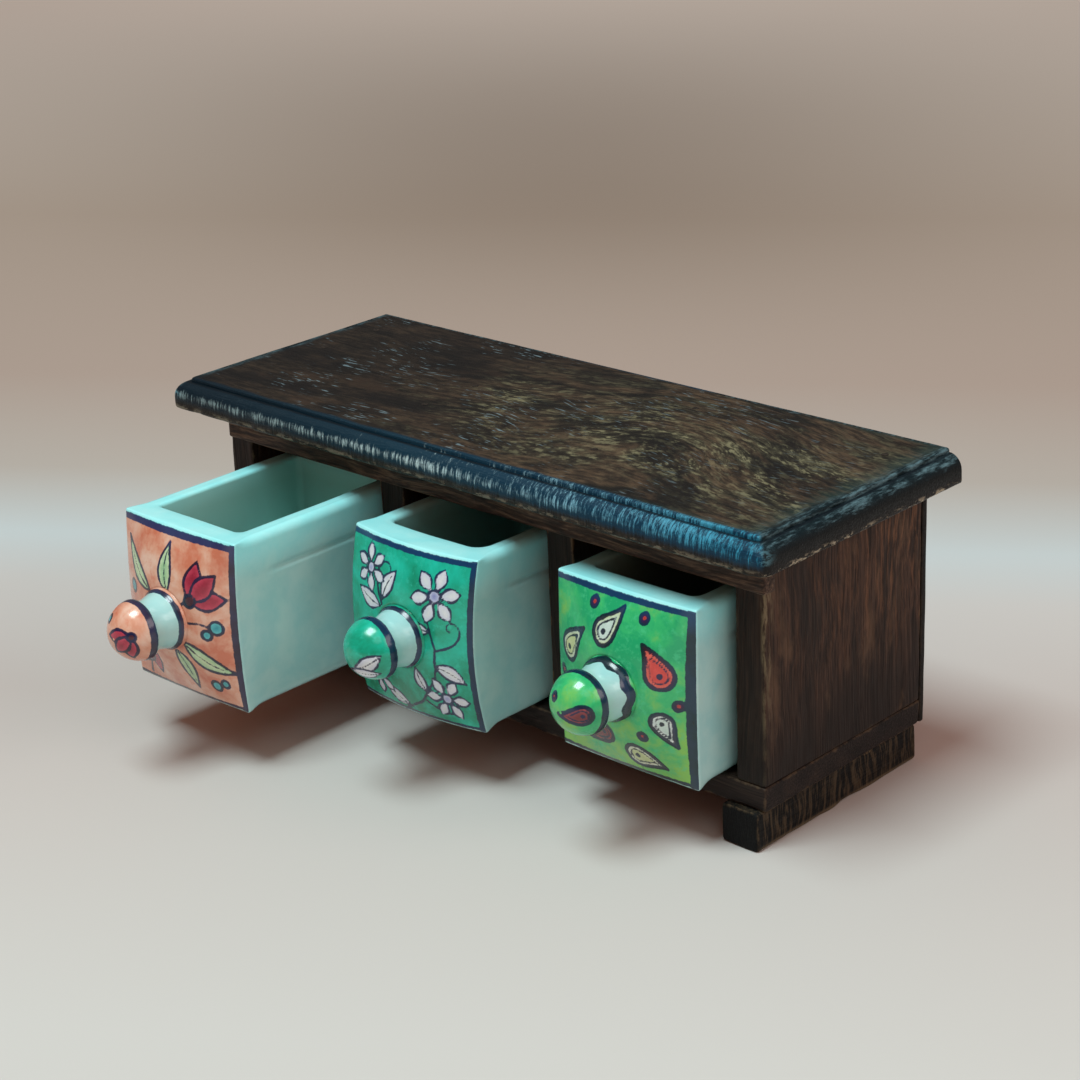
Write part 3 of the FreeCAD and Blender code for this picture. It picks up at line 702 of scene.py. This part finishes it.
# bow: the crown's reach in the middles of the sides and of head and foot. mouth: the opening's corner radius
# and lip. bands: widths of the border lines at head, right, foot and left. collar: half width of the line
# round the knob. washes: thin, middle and thick colour, and speckles. shift: moves the wash along these
# colours at the foot and the head.
DRAWERS = {
    "left": {
        "seed": 11, "bow": (0.5, 1.5), "mouth": (2.4, 1.5), "bands": (2.4, 2.6, 1.2, 0.0),
        "collar": 1.0, "pen": 1.15, "ink": rgb(2, 12, 46), "face": paint_left, "dome": dome_left,
        "washes": (rgb(208, 124, 96), rgb(224, 166, 140), rgb(236, 208, 190), rgb(214, 118, 90)),
        "shift": (0.0, 0.0),
    },
    "middle": {
        "seed": 23, "bow": (3.5, 4.5), "mouth": (5.0, 2.0), "bands": (1.9, 2.4, 1.2, 0.6),
        "collar": 1.0, "pen": 0.9, "ink": rgb(2, 16, 60), "face": paint_middle, "dome": dome_middle,
        "washes": (rgb(4, 146, 112), rgb(10, 174, 142), rgb(24, 204, 178), rgb(44, 208, 182)),
        "shift": (-0.06, 0.04),
    },
    "right": {
        "seed": 37, "bow": (0.5, 0.5), "mouth": (3.2, 1.5), "bands": (2.0, 3.4, 1.5, 0.5),
        "collar": 1.9, "pen": 1.6, "ink": rgb(1, 10, 34), "face": paint_right, "dome": dome_right,
        "washes": (rgb(26, 172, 112), rgb(56, 194, 118), rgb(136, 206, 92), rgb(76, 210, 150)),
        "shift": (0.20, -0.07),
    },
}


def drawer_rings(corner, lip):
    """Every ring's height, its insets at the side's front part, the side, the front and the rear, and the
    radii of its front and rear corners; and how many of the rings lie outside."""
    rings = []

    def rounded(depth, z, full):
        sharp, soft = float(inset(depth, SHARP)), float(inset(depth, full))
        rings.append((z, sharp, soft, sharp, soft, max(SHARP - sharp, 0.12), REAR_TURN - soft))

    for depth in (0, 0.16, 0.64, 1.4, 2.4, 3.6, 4.8):
        rounded(depth, depth, FOOT_ROUND)
    for z in np.arange(5.4, 61.21, CELL):
        rounded(CLEAR_OF_ROUNDS, float(z), FOOT_ROUND)
    rounded(CLEAR_OF_ROUNDS, 62.0, HEAD_ROUND)
    for depth in (3.2, 2.4, 1.6, 1.0, 0.62, 0.3, 0.1, 0):
        rounded(depth, TALL - depth, HEAD_ROUND)
    outer = len(rings)
    last = np.array(rings[-1][1:])
    wall = np.array([SIDE_WALL, SIDE_WALL, FRONT_WALL, REAR_WALL, corner, corner])
    inward = np.array([1, 1, 1, 1, -1, -1])
    mouth = wall - lip * inward
    for share in (0.2, 0.6, 1.0):
        rings.append((TALL, *(last + (mouth - last) * share)))
    for turn in np.radians([22.5, 45, 67.5, 90]):
        rings.append((TALL - lip * (1 - cos(turn)), *(mouth + lip * sin(turn) * inward)))
    for z in np.arange(58, 12, -6.5):
        rings.append((float(z), *wall))
    for turn in np.radians([0, 22.5, 45, 67.5, 90]):
        inner = wall + FLOOR_ROUND * (1 - cos(turn)) * inward
        z = FLOOR + FLOOR_ROUND - FLOOR_ROUND * sin(turn)
        rings.append((z, *inner[:4], *np.maximum(inner[4:], SHARP)))
    return rings, outer


def circled(x, z, face):
    """Moves points of the face near the knob's hole from squares onto circles."""
    aloft = z - TALL / 2
    reach = np.maximum(np.abs(x), np.abs(aloft))
    share = np.where(face & (reach > HOLE - 1e-6), 1 - smooth((reach - HOLE) / 10), 0)
    factor = 1 + share * (reach / np.maximum(np.hypot(x, aloft), CLOSE) - 1)
    return np.where(face, x * factor, x), np.where(face, aloft * factor + TALL / 2, z)


def shell(look, rings, outer):
    """The place function for the skin of a drawer without its knob."""
    across, upright = look["bow"]
    seed = look["seed"]

    def crown(x, z):
        u, v = x / HALF, (z - TALL / 2) / (TALL / 2)
        du, dv = np.clip(1 - u * u, 0, 1), np.clip(1 - v * v, 0, 1)
        return across * du + upright * dv + (CROWN - across - upright) * du * dv

    def place(u, v, k):
        z, sharp, soft, ahead, rear, front_turn, rear_turn = rings[k]
        back = (v + 1) / 2 * DEEP
        stand = sharp + (soft - sharp) * smooth(back / 10)
        x_end = HALF - stand
        x = u * x_end
        y = ahead + (v + 1) / 2 * (DEEP - ahead - rear)
        x_end = np.sign(u + CLOSE) * x_end
        x, y = turn_corner(x, y - DEEP / 2, x_end, DEEP / 2 - rear, rear_turn)
        x, y = turn_corner(x, y, x_end, -(DEEP / 2 - ahead), front_turn)
        y = y + DEEP / 2
        z = np.full(len(u), z)
        face = (v < -1 + CLOSE) & (k < outer)
        if k < outer:
            x, z = circled(x, z, face)
        kept = 1.0 if k < outer else max(0.25, 1 - (k - outer + 1) * 0.25)
        y = y - crown(x, z) * kept * (1 - v) / 2
        spot = np.stack([x, y, z], 1)
        wave = 0.5 + 0.5 * wobble(spot, CAST_WAVE, seed)
        if k < outer:
            x = x * (1 - 0.0045 * wave * smooth(back / 14))
            groove = np.clip(GROOVE_HALF - np.abs(z - (TALL - GROOVE_DROP)), 0, GROOVE_HALF) / GROOVE_HALF
            groove = np.sin(groove * pi / 2) ** 2 * smooth((back - GROOVE_START) / 9)
            x = x - np.sign(x) * np.where(np.abs(v) < 1 - CLOSE, GROOVE_DEEP * groove, 0)
            y = y + np.where(face, 0.12 * wave, 0)
            y = y - np.where(v > 1 - CLOSE, 0.2 * wave, 0)
        else:
            x = x + 0.25 * wobble(spot, MOUTH_WAVE, seed + 1)
        if k >= outer - 1:
            z = z - 0.22 * wave * (z > 60)
        return np.stack([x, y, z], 1)

    return place


def knob_profile():
    """Every knob ring's radius, y and share of the front's own shape, and how many rings the dome has."""
    profile = [(11.85, -8.9, 0.75), (11.7, -9.9, 0.35), (BALL, -CROWN, 0)]
    flare, neck = BALL - NECK, BALL_START - NECK_START
    for t in (0.25, 0.5, 0.75, 1):
        profile.append((NECK + flare * (1 - t) ** 2, -CROWN - (NECK_START - CROWN) * t, 0))
    for t in np.linspace(0.1, 0.97, 10):
        profile.append((NECK - 0.8 * sin(pi * t), -NECK_START - neck * t, 0))
    profile.append((10.65, -21.7, 0))
    for t in (0.0, 0.5, 1.0):
        profile.append((10.9 + 0.7 * sin(t), -BALL_START - 0.7 * (1 - cos(t)), 0))
    dome = np.linspace(0.075, pi / 2 - 0.045, 26)
    profile += [(BALL * cos(t), -BALL_START - BALL_LONG * sin(t), 0) for t in dome]
    return profile, len(dome)


def border(x, z, bands):
    """Distance to the painted lines along a front's edges."""
    top, right, bottom, left = bands
    gaps = [(PAINT_HEAD + 0.3 - top / 2 - z, top), (HALF - right / 2 + 0.3 - x, right)]
    gaps += [(z + PAINT_FOOT - bottom / 2, bottom), (HALF - left / 2 + x, left)]
    return np.minimum.reduce([np.abs(gap) - width / 2 for gap, width in gaps if width])


def drawer(side, look):
    low, high = (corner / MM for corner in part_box("drawer_" + side))
    rings, outer = drawer_rings(*look["mouth"])
    xs = [round(CELL * i, 3) for i in range(49)] + [29.4, 29.95, 30.3, HALF]
    xs = np.array([-x for x in xs[:0:-1]] + xs) / HALF
    ys = [0, 0.35, 0.8, 1.5, 2.6, 4, 6, 8.5] + list(np.arange(11.5, 78.1, 3.02))
    ys += [79.6, 80.8, 81.8, 82.7, 83.5, 84.3, 85.1, 85.6, DEEP]
    ys = np.array(ys) / DEEP * 2 - 1
    points, lower, bands, upper, ring, grid = skin(xs, ys, shell(look, rings, outer), len(rings))
    front = grid["ev"] < -1 + CLOSE

    # The hole for the knob
    columns = np.flatnonzero(front & (np.abs(grid["eu"] * HALF) < HOLE + 1e-6))
    columns = columns[columns < len(xs)]
    heights = np.array([row[0] for row in rings[:outer]])
    rows = np.flatnonzero(np.abs(heights - TALL / 2) < HOLE + 1e-6)
    kept_cells = np.ones((len(rings) - 1, ring.shape[1]), bool)
    kept_cells[rows[0]:rows[-1], columns[0]:columns[-1]] = False
    hole = np.concatenate([
        ring[rows[0], columns[0]:columns[-1]],
        ring[rows[0]:rows[-1], columns[-1]],
        ring[rows[-1], columns[-1]:columns[0]:-1],
        ring[rows[-1]:rows[0]:-1, columns[0]],
    ])

    # The knob
    turn = np.arctan2(points[hole, 2] - TALL / 2, points[hole, 0])
    profile, dome_rings = knob_profile()
    knob = []
    for radius, y, pull in profile:
        held = radius * (1 - 0.006 * (1 + np.sin(3 * turn + look["seed"] + y * 0.15)))
        out = y * (1 - pull) + points[hole, 1] * pull
        knob.append(np.stack([held * np.cos(turn), out, held * np.sin(turn) + TALL / 2], 1))
    start, count, many = len(points), len(profile), len(hole)
    tip_index = start + count * many
    points = np.concatenate([points, *knob, [[0, -BALL_START - BALL_LONG, TALL / 2]]])
    loops = np.concatenate([hole[None, :], np.arange(start, tip_index).reshape(count, many)])
    cap = np.stack([loops[-1], np.roll(loops[-1], -1), np.full(many, tip_index)], 1)
    total = len(points)

    # The painting on the shell; over the rounded head it follows the length of the skin
    wash, ink, edge = np.full((3, total), FAR_OFF)
    fill = np.tile(np.array(GREY), (total, 1))
    ahead = np.flatnonzero(front)
    upward = ring[:, ahead[4]]
    wide = look["collar"]
    climb = 0.0
    for k in range(outer + 3):
        index = ring[k]
        wash[index] = ink[index] = np.minimum((grid["ev"] + 1) / 2 * DEEP, FAR_OFF) - 0.12
        if k:
            climb += float(np.linalg.norm(points[upward[k]] - points[upward[k - 1]]))
        face = index[ahead]
        x = points[face, 0]
        z = points[face, 2] if k < outer - 3 else np.full(len(face), climb + 0.64)
        z = z - TALL / 2
        p = Painting(x, z, look["pen"])
        look["face"](p)
        scallop = (wide - 1) * 0.9 * np.sin(8 * np.arctan2(z, x) + 1)
        collar = np.hypot(x, z) - HOLE + COLLAR_AT - wide + scallop
        wash[face] = np.maximum.reduce([0.15 - HALF + np.abs(x), z - PAINT_HEAD, -PAINT_FOOT - z])
        lines = np.minimum.reduce([p.ink, border(x, z, look["bands"]), collar])
        ink[face] = np.maximum.reduce([lines, z - PAINT_HEAD - 0.65, -PAINT_FOOT - 0.4 - z])
        edge[face], fill[face] = p.edge, p.fill
    within, bare = np.zeros(total), np.zeros(total)
    for k in range(outer, len(rings)):
        within[ring[k]] = np.clip((k - outer - 4) / 3, 0, 1)
    within[grid["upper"]:start] = 1.0
    underside = np.flatnonzero(grid["size"] < 1 - CLOSE)
    wash[underside] = FAR_OFF
    bare[underside] = smooth((1 - grid["size"][underside]) / 0.04)

    # The painting on the knob, laid out by the distance from its tip
    walk = [(HOLE, -8.3, 1)] + profile
    track = np.cumsum([dist(a[:2], b[:2]) for a, b in zip(walk, profile)])
    dome_edge = track[-1] + 0.5 - track[count - dome_rings]
    for number, passed in enumerate(track):
        index = loops[number + 1]
        back = track[-1] + 0.5 - passed
        p = Painting(back * np.cos(turn), back * np.sin(turn), look["pen"])
        look["dome"](p)
        rear_line = np.abs(back - dome_edge + 1.0 - 0.35 * np.sin(2 * turn + look["seed"])) - 1.5
        scallop = (wide - 1) * 0.9 * np.sin(8 * turn + 1)
        base_line = np.abs(passed - COLLAR_AT + scallop) - wide
        wash[index] = passed - COLLAR_AT if passed < 6 else back - dome_edge + 0.4
        motifs = p.ink if back < dome_edge else np.full(many, FAR_OFF)
        ink[index] = np.minimum.reduce([motifs, rear_line, base_line])
        edge[index], fill[index] = p.edge, p.fill
    wash[tip_index] = -FAR_OFF

    points = points + np.array([(low.x + high.x) / 2, high.y - DEEP, low.z])
    fields = {"wash": wash, "ink": ink, "fill_edge": edge, "fill": fill, "within": within, "bare": bare}
    faces = [lower, bands[kept_cells], upper, belts(loops).reshape(-1, 4), cap]
    node = "drawer_" + side
    build("painted_" + node, points, faces, fields, glaze(side, look), node, node, "glazed_ceramic")


# Boards, in millimetres

MARGIN = 0.06
BEAD, BEAD_START, TOP_CELL = 5.5, 5.1, 1.9


def extent(node):
    """The size of a CAD node's box and the middle of its underside."""
    low, high = (np.array(corner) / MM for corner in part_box(node))
    middle = (low + high) / 2
    return high - low, np.array([middle[0], middle[1], low[2]])


def board(name, node, finish, slot, cell, arris, seed):
    """A sawn board with uneven, rubbed arrises, inside its own box."""
    size, foot = extent(node)
    rise = (steps(size[2], cell) + 1) / 2 * size[2]

    def place(u, v, k):
        z = np.full(len(u), rise[k])
        flat = np.stack([u * size[0] / 2, v * size[1] / 2, z], 1)
        rub = arris * (1 + 0.9 * wobble(flat, 17, seed) * wobble(flat, 61, seed + 1))
        rub = np.clip(rub, 0.3, min(size) / 2.2)
        depth = np.minimum(z, size[2] - z)
        stand = inset(depth, rub) + MARGIN + 0.09 * (1 + wobble(flat, 24, seed + 2))
        x_end, y_end = size[0] / 2 - stand, size[1] / 2 - stand
        x, y = u * x_end, v * y_end
        turn = np.minimum(rub, np.minimum(x_end, y_end) * 0.95)
        for sx in (1, -1):
            for sy in (1, -1):
                x, y = turn_corner(x, y, sx * x_end, sy * y_end, turn)
        return np.stack([x, y, np.clip(z, MARGIN, size[2] - MARGIN)], 1)

    xs, ys = steps(size[0], cell), steps(size[1], cell)
    points, lower, bands, upper, _, _ = skin(xs, ys, place, len(rise))
    x, y, z = points.T
    gaps = np.stack([size[0] / 2 - np.abs(x), size[1] / 2 - np.abs(y), np.minimum(z, size[2] - z)], 1)
    second_nearest = np.sort(gaps, axis=1)[:, 1]
    worn = np.clip(1 - second_nearest / 2.6, 0, 1)
    faces = [lower, bands.reshape(-1, 4), upper]
    build(name, points + foot, faces, {"worn": worn}, finish, node, "cabinet", slot)


def moulding():
    """The moulding's outline from the lower edge up: how far it stands back, and its height."""
    outline = [(1.2, 0.0), (0.75, 0.1), (0.35, 0.36), (0.1, 0.75), (0.0, 1.2)]
    outline += [(0.0, 2.5), (0.0, 3.8), (0.0, BEAD_START)]
    for turn in np.radians([12, 24, 36, 48, 60, 70, 78]):
        outline.append((BEAD * (1 - cos(turn)), BEAD_START + BEAD * sin(turn)))
    outline += [(4.85, 10.5), (4.95, 10.05), (5.15, 10.0), (5.25, 10.5), (5.25, 11.2)]
    return outline + [(5.4, 11.62), (5.65, 11.86), (6.1, 12.0)]


def top_board(finish):
    """The moulded top: a quarter-round bead and a small step round the front and both ends."""
    size, foot = extent("top_board")
    outline = moulding()
    reach = np.concatenate([[0], np.cumsum([dist(a, b) for a, b in zip(outline, outline[1:])])])

    def place(u, v, k):
        back, height = outline[k]
        z = np.full(len(u), height)
        flat = np.stack([u * size[0] / 2, v * size[1] / 2, z], 1)
        shy = 0.05 + 0.16 * (0.5 + 0.5 * wobble(flat, 9, 5))
        bruise = np.clip(wobble(flat * np.array([1, 1, 0.2]), 14, 8) - 0.35, 0, 1)
        stand = back + shy + bruise * (1.1 if k < 6 else 0.35)
        x_end = size[0] / 2 - stand
        ahead, behind = size[1] / 2 - stand, size[1] / 2 - shy
        x = u * x_end
        y = (v + 1) / 2 * (ahead + behind) - ahead
        turn = 2.5 if back < 5 else 1.5
        for sx in (1, -1):
            x, y = turn_corner(x, y, sx * x_end, -ahead, turn)
        z = z - 0.12 * (0.5 + 0.5 * wobble(flat, 70, 3)) * (z > 11.5)
        return np.stack([x, y, z], 1)

    xs, ys = steps(size[0], TOP_CELL), steps(size[1], TOP_CELL)
    points, lower, bands, upper, ring, grid = skin(xs, ys, place, len(outline))
    total = len(points)
    rise = np.full(total, 30.0)
    lead, chip, corner, worn = np.zeros((4, total))
    ahead = points[:, 1] + size[1] / 2
    near_end = size[0] / 2 - np.abs(points[:, 0])
    mitre = smooth((near_end - ahead + 1.5) / 3)
    for k, index in enumerate(ring):
        rise[index] = reach[k]
        lead[index] = mitre[index] * smooth((20 - ahead[index]) / 4)
        chip[index] = (reach[k] < 2.2) * (1 - 0.6 * lead[index])
        corner[index] = np.exp(-(near_end[index] ** 2 + ahead[index] ** 2) / 16) * (reach[k] > 5)
    under = np.arange(len(grid["size"]))
    rise[under] = np.where(grid["size"] < 1 - CLOSE, 0.0, rise[under])
    plate = grid["upper"] + under
    rise[plate] = reach[-1] + (1 - grid["size"]) * size[1] / 2
    lead[plate] = mitre[plate]
    fields = {"rise": rise, "lead": lead, "chip": chip, "corner": corner, "worn": worn}
    faces = [lower, bands.reshape(-1, 4), upper]
    build("moulded_top", points + foot, faces, fields, finish, "top_board", "cabinet", "waxed_top")


# The object

for side, look in DRAWERS.items():
    drawer(side, look)

brown, dark, feet = panel_finish(), dark_finish(), foot_finish()
upright_tones = rgb(18, 13, 11), rgb(38, 28, 22), rgb(64, 47, 35), rgb(96, 78, 56)
upright = wood("partition_wood", "Z", upright_tones, (0.3, 0.76), 0.55).done()
top_board(top_finish())
BOARDS = [
    ("carcase_side_left", "side_panel_left", brown, "brown_wood", 2.4, 0.9),
    ("carcase_side_right", "side_panel_right", brown, "brown_wood", 2.4, 0.9),
    ("divider_left", "partition_left", upright, "dark_wood", 3.0, 0.7),
    ("divider_right", "partition_right", upright, "dark_wood", 3.0, 0.7),
    ("front_lintel", "front_rail", dark, "brown_wood", 2.6, 0.8),
    ("carcase_base", "base_board", dark, "dark_wood", 2.8, 1.0),
    ("carcase_back", "back_panel", dark, "dark_wood", 3.2, 0.6),
    ("foot_strip_left", "foot_left", feet, "foot_wood", 2.0, 1.2),
    ("foot_strip_right", "foot_right", feet, "foot_wood", 2.0, 1.2),
]
for seed, settings in enumerate(BOARDS, 101):
    board(*settings, seed)
steel = metal_finish()
for name in ("top_nails", "base_nails", "foot_nails", "back_nails", "rail_nails"):
    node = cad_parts[name]
    node.data.materials.clear()
    node.data.materials.append(steel)


# Floor, light and camera, in metres

AZIMUTH, ELEVATION, ROLL = radians(43.6), radians(21.49), radians(-2.37)
CAMERA_AWAY, LENS, SENSOR = 0.88763, 84.48, 36.0
AWAY = Vector((-sin(AZIMUTH), cos(AZIMUTH), 0))
RIGHT = Vector((cos(AZIMUTH), sin(AZIMUTH), 0))
UP = Vector((0, 0, 1))
TARGET = Vector((0.03273, 0.00445, 0.08991))
FLOOR_HALF = 2.3
FLOOR_NEAR, FLOOR_FAR = -0.5, 2.0
# Floor tones by distance: painted shade round the chest, a painted cool band of light behind it, a warmer
# backdrop farther off and pale far away.
FLOOR_TONES = [
    (-0.20, rgb(202, 205, 203)),
    (0.04, rgb(192, 187, 184)),
    (0.15, rgb(200, 202, 201)),
    (0.21, rgb(197, 212, 216)),
    (0.30, rgb(182, 180, 174)),
    (0.45, rgb(177, 166, 157)),
    (0.80, rgb(181, 174, 163)),
    (1.80, rgb(240, 252, 248)),
]


def floor():
    """A sheet whose tone changes with the distance, with painted shade round the chest, a painted band of
    light, and a browner patch of painted shade far behind the chest.
    """
    g = Graph("paper_floor")
    split = g.add("VectorMath", {0: g.place, 1: tuple(AWAY + RIGHT * 0.18)}, operation="DOT_PRODUCT")
    far = g.plus(split.outputs["Value"], g.swing(g.noise(3.0, 2.0), 0.03))
    level = g.add("MapRange", {"Value": far, "From Min": FLOOR_NEAR, "From Max": FLOOR_FAR}).outputs[0]
    across = g.add("VectorMath", {0: g.place, 1: tuple(RIGHT)}, operation="DOT_PRODUCT").outputs["Value"]
    aside = g.reckon("ABSOLUTE", g.reckon("DIVIDE", g.minus(across, 0.06), g.plus(far, 0.6)))
    # Painted shade: a browner patch far behind the chest.
    middle = g.times(g.step(aside, 0.32, 0.0, 0.0, 0.42), g.step(far, 0.42, 0.9))
    span = FLOOR_FAR - FLOOR_NEAR
    g.colour = g.ramp(level, [((spot - FLOOR_NEAR) / span, tone) for spot, tone in FLOOR_TONES])
    g.lay(g.times(middle, g.step(far, 1.8, 1.0)), rgb(108, 92, 78))
    g.surface("Roughness", 0.9)
    g.surface("Specular IOR Level", 0.1)
    corners = [(x * FLOOR_HALF, y * FLOOR_HALF, 0) for x, y in ((-1, -1), (1, -1), (1, 1), (-1, 1))]
    mesh = bpy.data.meshes.new("studio_floor")
    mesh.from_pydata(corners, [], [(0, 1, 2, 3)])
    mesh.materials.append(g.done())
    plane = placed("studio_floor", mesh)


def lamp(name, offset, width, watts, colour):
    """A square lamp that shines on the target from the offset."""
    data = bpy.data.lights.new(name, "AREA")
    data.shape = "RECTANGLE"
    data.size = data.size_y = width
    data.energy, data.color = watts, colour
    made = placed(name, data)
    made.location = TARGET + offset
    made.rotation_euler = (-offset).to_track_quat("-Z", "Y").to_euler()


floor()
lamp("key", UP * 1.95 - RIGHT * 0.50 - AWAY * 0.40, 0.85, 38.0, (0.82, 1.0, 1.0))
lamp("front", UP * 1.50 + RIGHT * 0.32 - AWAY * 1.34, 0.9, 3.0, (0.84, 1.0, 1.0))
lamp("fill", UP * 0.95 + RIGHT * 1.40 - AWAY * 0.80, 1.0, 8.0, (1.0, 0.88, 0.84))
world = bpy.data.worlds.new("studio")
world.use_nodes = True
sky = world.node_tree
ambient = sky.nodes["Background"]
ambient.inputs["Color"].default_value = (1.0, 0.44, 0.30, 1.0)
ambient.inputs["Strength"].default_value = 0.31
ray = sky.nodes.new("ShaderNodeLightPath")
shown = ambient
SEEN_BY = {"Is Glossy Ray": (0.15, 0.13, 0.125, 1.0), "Is Camera Ray": (0.30, 0.24, 0.20, 1.0)}
for kind, colour in SEEN_BY.items():
    backdrop = sky.nodes.new("ShaderNodeBackground")
    backdrop.inputs["Color"].default_value = colour
    blend = sky.nodes.new("ShaderNodeMixShader")
    sky.links.new(ray.outputs[kind], blend.inputs[0])
    sky.links.new(shown.outputs[0], blend.inputs[1])
    sky.links.new(backdrop.outputs[0], blend.inputs[2])
    shown = blend
sky.links.new(shown.outputs[0], sky.nodes["World Output"].inputs["Surface"])
bpy.context.scene.world = world
bpy.context.scene.view_settings.view_transform = "Standard"

to_camera = UP * sin(ELEVATION) - AWAY * cos(ELEVATION)
level_up = UP * cos(ELEVATION) + AWAY * sin(ELEVATION)
turned_right = RIGHT * cos(ROLL) + level_up * sin(ROLL)
turned_up = level_up * cos(ROLL) - RIGHT * sin(ROLL)
eye = bpy.data.cameras.new("photo_camera")
eye.sensor_width, eye.lens = SENSOR, LENS
eye.clip_start, eye.clip_end = 0.05, 30.0
camera = placed("photo_camera", eye)
rows = Matrix((turned_right, turned_up, to_camera)).transposed().to_4x4()
rows.translation = TARGET + to_camera * CAMERA_AWAY
camera.matrix_world = rows
bpy.context.scene.camera = camera
